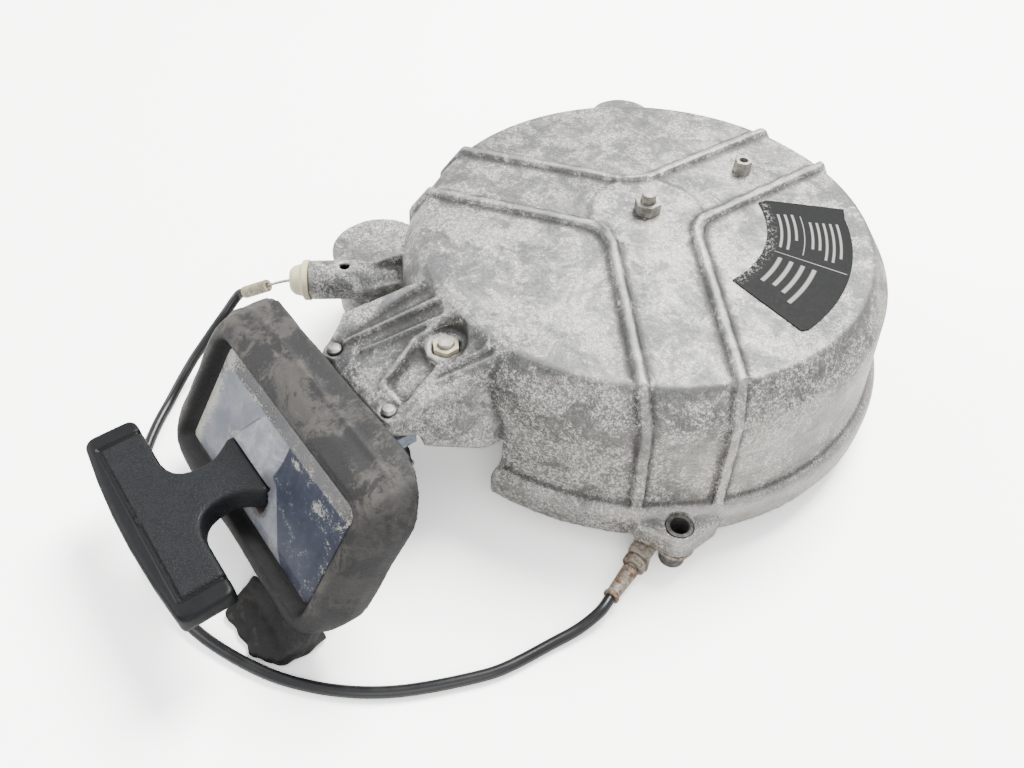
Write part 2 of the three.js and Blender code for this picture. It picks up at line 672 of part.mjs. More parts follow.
function ropeGuide(parent) {
  add(parent, 'handle_bracket', handleBracket(), 'blue_steel');
  for (const [side, at] of Object.entries(ROLLERS)) {
    const place = group(parent, [...at, 0]);
    const low = ROPE_Z - ROLLER_HEIGHT / 2;
    const roller = lathe([
      [PIN_RADIUS + GAP, low], [ROLLER_RADIUS, low],
      [ROLLER_RADIUS, ROPE_Z - 7], [ROLLER_RADIUS - 2, ROPE_Z - 3],
      [ROLLER_RADIUS - 2, ROPE_Z + 3], [ROLLER_RADIUS, ROPE_Z + 7],
      [ROLLER_RADIUS, low + ROLLER_HEIGHT], [PIN_RADIUS + GAP, low + ROLLER_HEIGHT],
    ], 32);
    add(place, `rope_roller_${side}`, roller, 'nylon_dark');
    const domed = lathe([
      [0, PIN_BOSS_Z + 3], [2.6, PIN_BOSS_Z + 2.8], [3.9, PIN_BOSS_Z + 1.8],
      [3.9, PIN_BOSS_Z + 0.9], [0, PIN_BOSS_Z + 0.9],
    ], 24);
    const shank = cylinder(PIN_RADIUS, 13, PIN_BOSS_Z + 1, [0, 0], 16);
    const foot = cylinder(4.6, 13, 16 - GAP, [0, 0], 20);
    add(place, `roller_pin_${side}`, union(shank, foot, domed), 'steel');
  }
  const bolt = group(parent, [...GUIDE_BOLT, 0]);
  const shank = union(
    cylinder(4, 41, GUIDE_BOLT_Z + 8.6, [0, 0], 24),
    cylinder(13 / Math.sqrt(3), 41, 47 - GAP, [0, 0], 6),
  );
  add(bolt, 'guide_bolt', shank, 'steel');
  add(bolt, 'guide_nut', nut(12.6, GUIDE_BOLT_Z + GAP, GUIDE_BOLT_Z + 6.3, 4 + GAP), 'yellow_zinc');
}

// ---------------------------------------------------------------- plate, seal and bracket nuts

const PLATE_BEVEL = 7.5; // width of the sloping border round the plate's flat face

// The pressed plate: a sloping border, a hood that rises over the handle's neck, and behind it a
// box with an upright wall that the neck seats against.
function handlePlate() {
  const [w, h] = [PLATE_WIDTH / 2, PLATE_HEIGHT / 2];
  const slab = hull([
    ...roundedOutline(w - PLATE_BEVEL, h - PLATE_BEVEL, 1, 0, [0, 0], 1),
    ...roundedOutline(w, h, 3, -2, [0, 0], 2),
    ...roundedOutline(w, h, 3, -3, [0, 0], 2),
  ]);
  const hood = hull([
    [-30, -1, -1], [-17.3, 17.2, -1], [8.3, 18.9, -1], [11.5, 6.6, -1],
    [16.1, -6.2, -1], [14, -12, -1], [-30, -12, -1],
    [-28.5, -1, 0.5], [-17, 16, 0.5], [7.6, 17.5, 0.5], [13.6, -5.5, 0.5],
    [-27, -2.5, 3.2], [12.5, -3.8, 3.2], [-22, 3, 2.8], [7, 3, 2.8],
  ]);
  const seat = hull([
    ...roundedOutline(29, 20, 7, -1, [-8.5, -4], 3),
    ...roundedOutline(26, 17, 6, -12, [-8.5, -3], 3),
  ]);
  const studs = PLATE_STUDS.map((x) => cylinder(2.5, COVER_BACK - 9, -2, [x, 17], 12));
  const across = (half) => [HANDLE_X - half, HANDLE_X + half];
  const [low, high] = [ROPE_Z - GRIP_THICKNESS / 2, ROPE_Z + GRIP_THICKNESS / 2];
  const pocket = box(across(NECK_HALF + GAP), [-300, NECK_END + GAP], [low - GAP, high + GAP]);
  const behind = box(across(NECK_HALF - 2), [NECK_END + 3.3, -200], [low + 2, high - 2]);
  const ropeHole = alongPull(4, -260, -200).translate(HANDLE_X, 0, ROPE_Z);
  const pull = union(pocket, behind, ropeHole);
  const intoCover = (manifold) => solid(geometryOf(manifold).applyMatrix4(coverMatrix().invert()));
  return union(slab, hood, seat, ...studs).subtract(intoCover(pull));
}

function rubberSeal() {
  const w = PLATE_WIDTH / 2;
  const h = PLATE_HEIGHT / 2;
  const outside = hull([
    ...roundedOutline(w + 9, h + 9, 16, 4.5),
    ...roundedOutline(w + 15, h + 15, 22, 1.5, [0, 1]),
    ...roundedOutline(w + 20, h + 19, 28, -8, [0, 5.7]),
    ...roundedOutline(w + 21, h + 20, 30, -17.8, [0, 12.7]),
  ]);
  const pocket = hull([
    ...roundedOutline(w + 5, h + 5, 7, 6, [0, 0], 3),
    ...roundedOutline(w + 1.2, h + 1.2, 4, -3 - GAP, [0, 0], 3),
  ]);
  const opening = hull([
    ...roundedOutline(w - 9, h - 4, 8, 0, [0, 0], 3),
    ...roundedOutline(w - 9, h - 4, 8, -22, [0, 0], 3),
  ]);
  return outside.subtract(pocket).subtract(opening);
}

// The torn strip of the seal's flange, which hangs under it, in the case's frame.
function sealFlap() {
  const onTable = [[17, -286], [46, -286], [59, -278], [62, -266], [60, -252], [12, -266]];
  const lift = (y) => 3 + (y + 286) * 0.5;
  return hull(onTable.flatMap(([x, y]) => [[x, y, -14.4], [x, y, -14.4 + lift(y)]]));
}

function coverParts(parent) {
  const cover = group(parent);
  cover.applyMatrix4(coverMatrix());
  add(cover, 'handle_plate', handlePlate(), 'painted_plate');
  PLATE_STUDS.forEach((x, i) => {
    const place = group(cover, [x, 17, COVER_BACK - BRACKET.sheet - GAP]);
    add(place, `plate_nut_${i === 0 ? 'left' : 'right'}`, nut(8, -4, 0, 2.5 + GAP), 'steel');
  });
  add(parent, 'rubber_seal', fromCover(rubberSeal()).add(sealFlap()), 'seal_rubber');
}

// ---------------------------------------------------------------- handle and rope

const KNOT_Y = -291;
const PULL_END = -226; // the rope beyond here moves with the handle

function gripOutline() {
  const bevel = 2.2;
  const end = GRIP_LENGTH / 2 - bevel;
  const outer = GRIP_OUTER_Y + bevel;
  const inner = GRIP_INNER_Y - bevel;
  const waist = 12.2 - bevel; // the neck narrows between the grip and the plate
  const tail = NECK_HALF - bevel;
  const shape = new THREE.Shape();
  shape.moveTo(-end + 4, outer + 0.3);
  shape.quadraticCurveTo(0, outer - 6.5, end - 4, outer + 0.3);
  shape.absarc(end - 4, outer + 4.3, 4, rad(-90), rad(0));
  shape.lineTo(end, inner - 2.5);
  shape.absarc(end - 2.5, inner - 2.5, 2.5, rad(0), rad(90));
  shape.lineTo(27, inner);
  shape.bezierCurveTo(15, inner + 1, waist, inner + 7, waist, inner + 19);
  shape.bezierCurveTo(waist, inner + 26, tail - 3.5, inner + 31, tail, NECK_END - bevel - 1);
  shape.lineTo(tail, NECK_END - bevel);
  shape.lineTo(-tail, NECK_END - bevel);
  shape.lineTo(-tail, NECK_END - bevel - 1);
  shape.bezierCurveTo(-tail + 3.5, inner + 31, -waist, inner + 26, -waist, inner + 19);
  shape.bezierCurveTo(-waist, inner + 7, -15, inner + 1, -27, inner);
  shape.lineTo(-end + 2.5, inner);
  shape.absarc(-end + 2.5, inner - 2.5, 2.5, rad(90), rad(180));
  shape.lineTo(-end, outer + 4.3);
  shape.absarc(-end + 4, outer + 4.3, 4, rad(180), rad(270));
  return { shape, bevel };
}

function handleBlank() {
  const { shape, bevel } = gripOutline();
  const depth = GRIP_THICKNESS - 2 * bevel;
  const options = { depth, bevelThickness: bevel, bevelSize: bevel, bevelSegments: 2, curveSegments: 5 };
  const block = solid(new THREE.ExtrudeGeometry(shape, options).translate(0, 0, -depth / 2));
  return block.intersect(union(gripKeel(), box([-27, 27], [-290, -200], [-20, 20])));
}

// The bar of the handle is drawn in underneath, so that fingers close round it.
function gripKeel() {
  const half = GRIP_LENGTH / 2;
  const level = (inset, z) => [-half + inset, half - inset].flatMap((x) => (
    [[x, GRIP_OUTER_Y - 4 + inset, z], [x, GRIP_INNER_Y + 1 - inset, z]]
  ));
  return hull([...level(0, 9), ...level(0, 0.5), ...level(2.2, -4), ...level(6, -7.5)]);
}

function alongPull(radius, y0, y1, segments = 16) {
  const geometry = new THREE.CylinderGeometry(radius, radius, y1 - y0, segments);
  return solid(geometry.translate(0, (y0 + y1) / 2, 0));
}

// The rope's straight run between the drum and the right roller: it touches both, and crosses
// from the drum's right side to the roller's left side.
function drumTangent() {
  const [x, y] = ROLLERS.right;
  const wound = ROPE_PITCH_RADIUS + 8;
  const turned = ROLLER_RADIUS - 2 + ROPE_RADIUS + GAP;
  const normal = Math.atan2(y, x) + Math.acos((wound + turned) / Math.hypot(x, y));
  const [nx, ny] = [Math.cos(normal), Math.sin(normal)];
  return { start: [wound * nx, wound * ny], meet: [x - turned * nx, y - turned * ny], heading: [ny, -nx] };
}

function handleParts(parent) {
  const handle = group(parent, [HANDLE_X, 0, ROPE_Z]);
  const blank = handleBlank();
  const end = 51.8; // half the length of the core between the band's two ends
  const spine = GRIP_OUTER_Y + 5.5;
  const half = GAP / 2;
  const core = blank
    .intersect(box([-end + half, end - half], [spine + half, -200], [-20, 20]))
    .subtract(union(alongPull(3.6, KNOT_Y, -200), alongPull(7, spine - 5, KNOT_Y + 6)));
  const band = blank.subtract(box([-end - half, end + half], [spine - half, -200], [-20, 20]));
  add(handle, 'handle_grip', core, 'handle_plastic');
  add(handle, 'handle_band', band, 'handle_plastic');
  const knot = solid(new THREE.SphereGeometry(6, 16, 10).scale(1, 0.75, 1).translate(0, KNOT_Y + 0.8, 0));
  add(handle, 'rope_knot', knot, 'rope_fibre');

  const { meet, start, heading } = drumTangent();
  const knotFace = KNOT_Y + 0.8 + 4.5 + GAP;
  const beyond = (distance) => [meet[0] + heading[0] * distance, meet[1] + heading[1] * distance, ROPE_Z];
  const lead = bar([
    beyond(GAP), beyond(4), [-6.6, -196, ROPE_Z], [-12.6, -210, ROPE_Z], [-17, -219, ROPE_Z],
    [HANDLE_X, PULL_END, ROPE_Z],
  ], ROPE_RADIUS, 12);
  add(parent, 'rope_guided', bar([[...start, ROPE_Z], beyond(0)], ROPE_RADIUS, 4), 'rope_fibre');
  add(parent, 'rope_lead', lead, 'rope_fibre');
  add(handle, 'rope_pull', alongPull(ROPE_RADIUS, knotFace, PULL_END - 0.6, 12), 'rope_fibre');
}

// ---------------------------------------------------------------- stop plunger and its cable

const PLUNGER_TIP = 100;
const PLUNGER_HEAD = [152, 160];
const CAP_INSERT = 184;

function stopParts(parent) {
  const axis = group(parent, [0, 0, STOP_Z]);
  axis.rotation.set(0, Math.PI / 2, rad(STOP_ANGLE), 'ZYX');
  const rod = lathe([
    [0, PLUNGER_TIP], [2.6, PLUNGER_TIP], [4, PLUNGER_TIP + 2], [4, PLUNGER_HEAD[0]],
    [8, PLUNGER_HEAD[0]], [8, PLUNGER_HEAD[1]], [0, PLUNGER_HEAD[1]],
  ], 24);
  add(axis, 'stop_plunger', rod, 'steel');
  const spring = group(axis, [0, 0, PLUNGER_HEAD[1] + GAP]);
  add(spring, 'plunger_spring', coil(6.2, 0.8, CAP_INSERT - PLUNGER_HEAD[1] - 2 * GAP, 6), 'spring_steel');
  const cap = lathe([
    [1.9, CAP_INSERT], [8.2, CAP_INSERT], [8.2, STOP_TUBE_END + GAP], [11.9, STOP_TUBE_END + GAP],
    [11.9, STOP_TUBE_END + 3.5], [9.6, STOP_TUBE_END + 5],
    [8.4, STOP_TUBE_END + 9.5], [6.4, STOP_TUBE_END + 11.6],
    [1.9, STOP_TUBE_END + 12],
  ], 32);
  add(axis, 'plunger_cap', cap, 'nylon_cream');
}

// The bare inner wire leaves the cap along the tube's axis and droops into the clear sleeve.
const CAP_END = STOP_TUBE_END + 12;
const SLEEVE_MOUTH = [...polar(CAP_END + 15, STOP_ANGLE - 0.5), STOP_Z - 5.5];
const SLEEVE_END = [...polar(CAP_END + 31, STOP_ANGLE - 1.5), STOP_Z - 14.5];
const TABLE_Z = -FOOT_DROP;

const REST_Z = TABLE_Z + CABLE_RADIUS + 0.1; // the cable's centre line where it lies on the table
const CABLE_ROUTE = [
  [-145, -203, 24],
  [-146, -213, 14.5],
  [-146, -221.5, 7],
  [-145, -230, 0.5],
  [-140, -242, -6.5],
  [-132, -254, -11],
  [-120, -267, REST_Z],
  [-104, -280, REST_Z],
  [-85, -291, REST_Z],
  [-62, -300, REST_Z],
  [-34, -305.5, REST_Z],
  [-6, -306, REST_Z],
  [21, -301, REST_Z],
  [55, -286, REST_Z],
  [73, -273.5, REST_Z],
  [90, -257, REST_Z],
  [104, -238, REST_Z],
  [119, -208, REST_Z],
  [124.5, -193, REST_Z],
  [128.8, -166, REST_Z + 0.2],
  [131.2, -150, -10.6],
  [131.4, -136.5, -7.6],
];
const ADJUSTER_START = [129, -128.5, -7.4];
const ADJUSTER_END = [119.5, -96.5, -7];

// The bent tab that carries the adjuster: a ring round the right mounting collar, an arm along
// the lug's underside and an upright plate with the adjuster's thread through it.
function cableTab(start, along) {
  const top = -GAP;
  const sheet = 2.2;
  const collar = polar(LUG_HOLE_RADIUS, ARM_ANGLES[1]);
  const across = new THREE.Vector3(-along.y, along.x, 0).normalize();
  const corner = (distance, side, z) => {
    const at = start.clone().addScaledVector(along, distance).addScaledVector(across, side);
    return [at.x, at.y, z];
  };
  const sides = [-6, 6];
  const upright = hull(sides.flatMap((side) => [
    corner(26.4, side, top), corner(26.4, side, -12.6),
    corner(26.4 + sheet, side, top), corner(26.4 + sheet, side, -12.6),
  ]));
  const arm = hull([
    ...sides.flatMap((side) => [corner(26.4, side, top), corner(26.4, side, top - sheet)]),
    ...sides.flatMap((side) => [corner(46, side, top), corner(46, side, top - sheet)]),
  ]);
  const eye = cylinder(10.2, top - sheet, top, collar, 32);
  const thread = new THREE.Quaternion().setFromUnitVectors(new THREE.Vector3(0, 0, 1), along);
  const hole = geometryOf(cylinder(3.2 + GAP, 10, 60, [0, 0], 16)).applyQuaternion(thread);
  const bore = solid(hole.translate(...start.toArray()));
  return union(upright, arm, eye)
    .subtract(cylinder(COLLAR_RADIUS + GAP, -9, 1, collar, 32))
    .subtract(bore);
}

function cableParts(parent) {
  const [mouth, tail] = [SLEEVE_MOUTH, SLEEVE_END];
  const onSleeve = (share) => mouth.map((value, i) => value + (tail[i] - value) * share);
  const capEnd = [...polar(CAP_END, STOP_ANGLE), STOP_Z];
  const head = [...polar(PLUNGER_HEAD[1] + GAP, STOP_ANGLE), STOP_Z];
  const inCap = [...polar(CAP_INSERT, STOP_ANGLE), STOP_Z];
  add(parent, 'stop_wire', bar([head, inCap, capEnd, mouth, onSleeve(0.35)], 0.9, 20), 'steel');

  const sleeve = bar([mouth, tail], 3.7, 2, 12).subtract(bar([onSleeve(-0.1), onSleeve(0.7)], 1.9, 1, 12));
  add(parent, 'cable_sleeve', sleeve, 'clear_sleeve');

  const direction = new THREE.Vector3(...tail).sub(new THREE.Vector3(...mouth)).normalize();
  const beyond = (distance) => new THREE.Vector3(...tail).addScaledVector(direction, distance).toArray();
  const route = [beyond(GAP), beyond(5), ...CABLE_ROUTE, ADJUSTER_START];
  add(parent, 'stop_cable', bar(route, CABLE_RADIUS, 64), 'cable_plastic');

  const start = new THREE.Vector3(...ADJUSTER_START);
  const along = new THREE.Vector3(...ADJUSTER_END).sub(start);
  const length = along.length();
  const fitting = group(parent, ADJUSTER_START);
  fitting.quaternion.setFromUnitVectors(new THREE.Vector3(0, 0, 1), along.normalize());
  const barrel = lathe([
    [0, GAP], [4.3, GAP], [4.3, 2], [3.6, 3], [4.4, 19], [3.2, 20.5], [3.2, length], [0, length],
  ], 24);
  add(fitting, 'cable_adjuster', barrel, 'rusty_steel');
  add(fitting, 'adjuster_nut', nut(11, 21.5, 26, 3.2 + GAP), 'rusty_steel');
  add(parent, 'cable_tab', cableTab(start, along), 'rusty_steel');
}

// ---------------------------------------------------------------- assembly

const starter = new THREE.Group();
const framed = group(starter);
caseFittings(framed);
drumParts(framed);
ropeGuide(framed);
coverParts(framed);
handleParts(framed);
stopParts(framed);
cableParts(framed);

// The free cable and what is on it don't count when the object is stood on its base.
const ON_THE_CABLE = [
  'stop_cable', 'cable_sleeve', 'stop_wire', 'cable_adjuster', 'adjuster_nut', 'cable_tab',
];
const bounds = new THREE.Box3();
starter.updateMatrixWorld(true);
starter.traverse((child) => {
  if (child.isMesh && !ON_THE_CABLE.includes(child.name)) bounds.expandByObject(child, true);
});
const middle = bounds.getCenter(new THREE.Vector3());
framed.position.set(-middle.x, -middle.y, -bounds.min.z);

export default starter;
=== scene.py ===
"""Looks for the recoil starter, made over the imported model. Metres, in the row frame."""
import json
import math

import bmesh
import bpy
import numpy as np
from mathutils import Matrix, Vector, noise


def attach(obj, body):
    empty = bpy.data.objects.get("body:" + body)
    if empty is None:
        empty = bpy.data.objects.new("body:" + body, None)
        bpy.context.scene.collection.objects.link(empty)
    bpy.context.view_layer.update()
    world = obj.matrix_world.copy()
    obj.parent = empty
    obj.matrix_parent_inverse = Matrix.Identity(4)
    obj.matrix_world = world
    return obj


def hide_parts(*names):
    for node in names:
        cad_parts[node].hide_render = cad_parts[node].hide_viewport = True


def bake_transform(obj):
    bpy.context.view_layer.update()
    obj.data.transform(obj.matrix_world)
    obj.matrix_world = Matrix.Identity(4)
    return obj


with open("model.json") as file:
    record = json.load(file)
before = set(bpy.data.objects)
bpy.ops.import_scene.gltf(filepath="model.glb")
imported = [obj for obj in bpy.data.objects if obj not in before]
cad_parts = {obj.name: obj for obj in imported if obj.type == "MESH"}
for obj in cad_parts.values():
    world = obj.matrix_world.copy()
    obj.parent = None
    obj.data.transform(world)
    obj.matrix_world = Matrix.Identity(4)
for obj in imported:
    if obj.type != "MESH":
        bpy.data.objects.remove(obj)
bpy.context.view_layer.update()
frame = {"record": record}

# ---------------------------------------------------------------- frame and camera

JOINTS = {joint["name"]: joint for joint in frame["record"]["behaviour"]["joints"]}
DRUM_SPIN_Z = 33  # height above the case's rim, in millimetres, at which the drum's joint is given
AXIS = Vector(JOINTS["drum_spin"]["pos_m"]) - Vector((0, 0, DRUM_SPIN_Z / 1000))
CAMERA_LENS = 29.88
CAMERA_PLACE = (262.4, -296.1, 381.6)  # millimetres from the drum's axis and the case's rim
CAMERA_FORWARD = (-0.531, 0.411, -0.741)
CAMERA_RIGHT = (0.604, 0.797, 0.009)


def at(x, y, z):
    """A point given in millimetres from the drum's axis and the case's rim."""
    return AXIS + Vector((x, y, z)) / 1000


def make_camera():
    data = bpy.data.cameras.new("camera")
    data.sensor_width = 36
    data.lens = CAMERA_LENS
    camera = bpy.data.objects.new("camera", data)
    bpy.context.scene.collection.objects.link(camera)
    forward = Vector(CAMERA_FORWARD).normalized()
    right = Vector(CAMERA_RIGHT)
    right = (right - forward * right.dot(forward)).normalized()
    up = right.cross(forward)
    turn = Matrix((right, up, -forward)).transposed()
    camera.matrix_world = Matrix.Translation(at(*CAMERA_PLACE)) @ turn.to_4x4()
    bpy.context.scene.camera = camera


make_camera()

# ---------------------------------------------------------------- material helpers


class Shader:
    """A small builder for a procedural principled material."""

    SOCKETS = {
        "base": "Base Color", "metallic": "Metallic", "rough": "Roughness", "normal": "Normal",
        "coat": "Coat Weight", "coat_rough": "Coat Roughness", "sheen": "Sheen Weight", "ior": "IOR",
        "shine": "Specular IOR Level", "glow": "Transmission Weight",
    }

    def __init__(self, name):
        self.material = bpy.data.materials.new(name)
        self.material.use_nodes = True
        self.tree = self.material.node_tree
        self.principled = self.tree.nodes["Principled BSDF"]
        self.coords = self.tree.nodes.new("ShaderNodeTexCoord").outputs["Object"]

    def put(self, socket, value):
        if hasattr(value, "is_output"):
            self.tree.links.new(value, socket)
        elif isinstance(value, tuple) and len(value) == 3 and socket.type == "RGBA":
            socket.default_value = (*value, 1)
        else:
            socket.default_value = value
        return self

    def set(self, **values):
        for key, value in values.items():
            self.put(self.principled.inputs[self.SOCKETS[key]], value)
        return self

    def noise(self, scale, detail=4, rough=0.55, stretch=None, warp=0.0, vector=None):
        node = self.tree.nodes.new("ShaderNodeTexNoise")
        node.inputs["Scale"].default_value = scale
        node.inputs["Detail"].default_value = detail
        node.inputs["Roughness"].default_value = rough
        node.inputs["Distortion"].default_value = warp
        self.put(node.inputs["Vector"], self.scaled(stretch, vector))
        return node.outputs["Fac"]

    def cells(self, scale):
        node = self.tree.nodes.new("ShaderNodeTexVoronoi")
        node.inputs["Scale"].default_value = scale
        self.put(node.inputs["Vector"], self.coords)
        return node.outputs["Distance"]

    def waves(self, scale, direction):
        node = self.tree.nodes.new("ShaderNodeTexWave")
        node.bands_direction = direction
        node.inputs["Scale"].default_value = scale
        self.put(node.inputs["Vector"], self.coords)
        return node.outputs["Fac"]

    def scaled(self, stretch, vector=None):
        vector = vector or self.coords
        if stretch is None:
            return vector
        node = self.tree.nodes.new("ShaderNodeMapping")
        node.inputs["Scale"].default_value = stretch
        self.put(node.inputs["Vector"], vector)
        return node.outputs["Vector"]

    def attribute(self, name, output="Fac"):
        node = self.tree.nodes.new("ShaderNodeAttribute")
        node.attribute_name = name
        return node.outputs[output]

    def axes(self, vector):
        node = self.tree.nodes.new("ShaderNodeSeparateXYZ")
        self.put(node.inputs[0], vector)
        return node.outputs

    def maths(self, operation, a, b=0.0, c=0.0):
        node = self.tree.nodes.new("ShaderNodeMath")
        node.operation = operation
        for socket, value in zip(node.inputs, (a, b, c)):
            self.put(socket, value)
        return node.outputs[0]

    def step(self, value, low, high, to_low=0.0, to_high=1.0):
        """value goes smoothly from to_low at low to to_high at high."""
        node = self.tree.nodes.new("ShaderNodeMapRange")
        node.interpolation_type = "SMOOTHSTEP"
        for socket, number in zip(node.inputs, (value, low, high, to_low, to_high)):
            self.put(socket, number)
        return node.outputs[0]

    def both(self, a, b):
        return self.maths("MULTIPLY", a, b)

    def either(self, a, b):
        return self.maths("MAXIMUM", a, b)

    def band(self, value, low, high, soft):
        """One between low and high, zero outside."""
        above = self.step(value, low - soft, low + soft)
        return self.both(above, self.step(value, high - soft, high + soft, 1.0, 0.0))

    def mix(self, share, a, b):
        node = self.tree.nodes.new("ShaderNodeMix")
        node.data_type = "RGBA"
        self.put(node.inputs["Factor"], share)
        self.put(node.inputs[6], a)
        self.put(node.inputs[7], b)
        return node.outputs[2]

    def bump(self, height, distance, strength=1.0, over=None):
        node = self.tree.nodes.new("ShaderNodeBump")
        node.inputs["Strength"].default_value = strength
        node.inputs["Distance"].default_value = distance
        self.put(node.inputs["Height"], height)
        if over is not None:
            self.put(node.inputs["Normal"], over)
        return node.outputs[0]

    def soft_edges(self, radius):
        node = self.tree.nodes.new("ShaderNodeBevel")
        node.samples = 6
        node.inputs["Radius"].default_value = radius
        return node.outputs[0]


def casting_material():
    """Bare die casting, mottled by age: pale salt in patches, dark oxide and painted shade in the grooves,
    painted highlights on the crests.

    z is the height above the table: wall is everything under the crown, side the lower part of the bell
    and bead the rim, which gets a painted highlight. From the camera, large y is the right, where a painted
    reflection streaks the side, large x the rougher front and small x the far side, which is given painted
    shade.
    """
    s = Shader("weathered_casting")
    cavity = s.attribute("cavity")
    x, y, z = s.axes(s.coords)
    blotch = s.noise(14, 5, 0.6, warp=0.5)
    patch = s.noise(62, 8, 0.74, warp=0.5)
    fleck = s.maths("ADD", s.both(s.noise(1250, 5, 0.8), 0.55), s.both(s.noise(520, 5, 0.8), 0.45))
    pepper = s.noise(820, 5, 0.78)
    grain = s.noise(2300, 3, 0.6)
    rings = s.noise(60, 6, 0.65, stretch=(1, 1, 7))
    cloud = s.noise(34, 7, 0.72, warp=0.9)
    tone = s.maths("ADD", s.both(patch, 0.45), s.maths("ADD", s.both(blotch, 0.2), s.both(cloud, 0.35)))
    base = s.mix(s.step(tone, 0.42, 0.59), (0.135, 0.139, 0.145), (0.375, 0.371, 0.36))
    middle = s.noise(300, 6, 0.8)
    base = s.mix(s.step(middle, 0.52, 0.43, 0, 0.55), base, (0.105, 0.107, 0.108))
    wall = s.step(z, 0.108, 0.094)
    side = s.both(s.step(z, 0.083, 0.07), s.step(z, 0.0145, 0.02))
    # painted reflection: lighter vertical streaks down the bell's right side, where it is also smoother
    right_sheen = s.both(side, s.step(y, -0.03, 0.012))
    rough_wall = s.both(s.both(wall, s.step(x, 0.03, 0.05)), s.step(right_sheen, 0, 1, 1, 0))
    base = s.mix(s.both(rough_wall, 0.3), base, (0.235, 0.215, 0.185))
    # painted shade: the far side of the case, away from the camera, is darkened
    base = s.mix(s.both(s.step(x, -0.035, -0.06), 0.25), base, (0.1, 0.1, 0.1))
    base = s.mix(s.both(right_sheen, s.step(rings, 0.36, 0.62, 0.35, 0.9)), base, (0.37, 0.35, 0.325))
    more = s.maths("SUBTRACT", s.both(rough_wall, 0.055), s.both(right_sheen, 0.03))
    where = s.maths("ADD", s.maths("ADD", patch, s.both(blotch, 0.35)), more)
    where = s.step(where, 0.63, 0.73, 0.18, 1)
    salt = s.both(s.step(fleck, 0.503, 0.545), where)
    base = s.mix(s.both(salt, 0.92), base, (0.84, 0.82, 0.755))
    stain = s.both(s.step(pepper, 0.47, 0.39), s.step(tone, 0.6, 0.42, 0.1, 0.8))
    base = s.mix(s.both(stain, s.step(right_sheen, 0, 1, 0.45, 0.25)), base, (0.065, 0.067, 0.069))
    # dark oxide in the hollows together with painted shade: every groove is darkened nearly to black
    groove = s.step(s.maths("ADD", cavity, s.both(s.maths("SUBTRACT", pepper, 0.5), 0.9)), 0.04, 0.4)
    base = s.mix(s.both(groove, 0.85), base, (0.045, 0.043, 0.041))
    # painted highlight: convex edges and rib crests are lightened
    crest_highlight = s.step(s.maths("ADD", cavity, s.both(s.maths("SUBTRACT", fleck, 0.5), 1.6)), -0.22, -0.6)
    base = s.mix(s.both(crest_highlight, 0.35), base, (0.5, 0.495, 0.475))
    bead = s.band(z, 0.0155, 0.0335, 0.001)
    # painted highlight: the rim's bead is lightened, most on the right, and made smoother
    bead_highlight = s.both(bead, s.step(y, -0.04, 0.01, 0.25, 1.0))
    base = s.mix(s.both(bead_highlight, s.step(rings, 0.3, 0.6, 0.2, 0.8)), base, (0.46, 0.445, 0.42))
    metallic = s.maths("SUBTRACT", 0.86, s.both(salt, 0.6))
    s.set(base=base, metallic=s.maths("SUBTRACT", metallic, s.both(groove, 0.4)))
    rough = s.maths("ADD", s.step(tone, 0.4, 0.6, 0.42, 0.28), s.both(salt, 0.25))
    s.set(rough=s.maths("SUBTRACT", rough, s.both(s.either(right_sheen, bead_highlight), 0.13)))
    fine = s.bump(grain, 0.0002, 0.5)
    s.set(normal=s.bump(s.maths("ADD", s.both(fleck, 0.9), s.both(patch, 1.2)), 0.0008, 0.55, fine))
    return s.material


def metal_material(name, tint, dark, metallic=0.9, rough=0.4, rust=0.0, edge=0.0004):
    s = Shader(name)
    patch = s.noise(300, 6, 0.65)
    fine = s.noise(2600, 3, 0.6)
    base = s.mix(s.step(patch, 0.35, 0.65), dark, tint)
    if rust:
        where = s.step(s.noise(170, 8, 0.7), 0.62 - rust * 0.35, 0.7 - rust * 0.3)
        red = s.mix(s.step(s.noise(900, 4, 0.7), 0.35, 0.65), (0.075, 0.032, 0.015), (0.27, 0.135, 0.06))
        base = s.mix(where, base, red)
        pale = s.step(s.noise(520, 5, 0.7), 0.58, 0.66)
        base = s.mix(s.both(pale, 0.8), base, (0.7, 0.68, 0.62))
        metallic = s.step(where, 0, 1, metallic, 0.1)
    s.set(base=base, metallic=metallic, rough=s.step(fine, 0.3, 0.7, rough - 0.08, rough + 0.14))
    s.set(normal=s.bump(s.maths("ADD", fine, patch), 0.00015 + rust * 0.0005, 0.5, s.soft_edges(edge)))
    return s.material


def plastic_material(name, colour, rough, dust, dusty):
    s = Shader(name)
    patch = s.noise(120, 7, 0.68)
    base = s.mix(s.both(s.step(patch, 0.5, 0.72), dusty), colour, dust)
    s.set(base=base, rough=s.step(patch, 0.3, 0.7, rough - 0.06, rough + 0.12))
    s.set(normal=s.bump(s.noise(2200, 3, 0.6), 0.00012, 0.6, s.soft_edges(0.0005)))
    return s.material


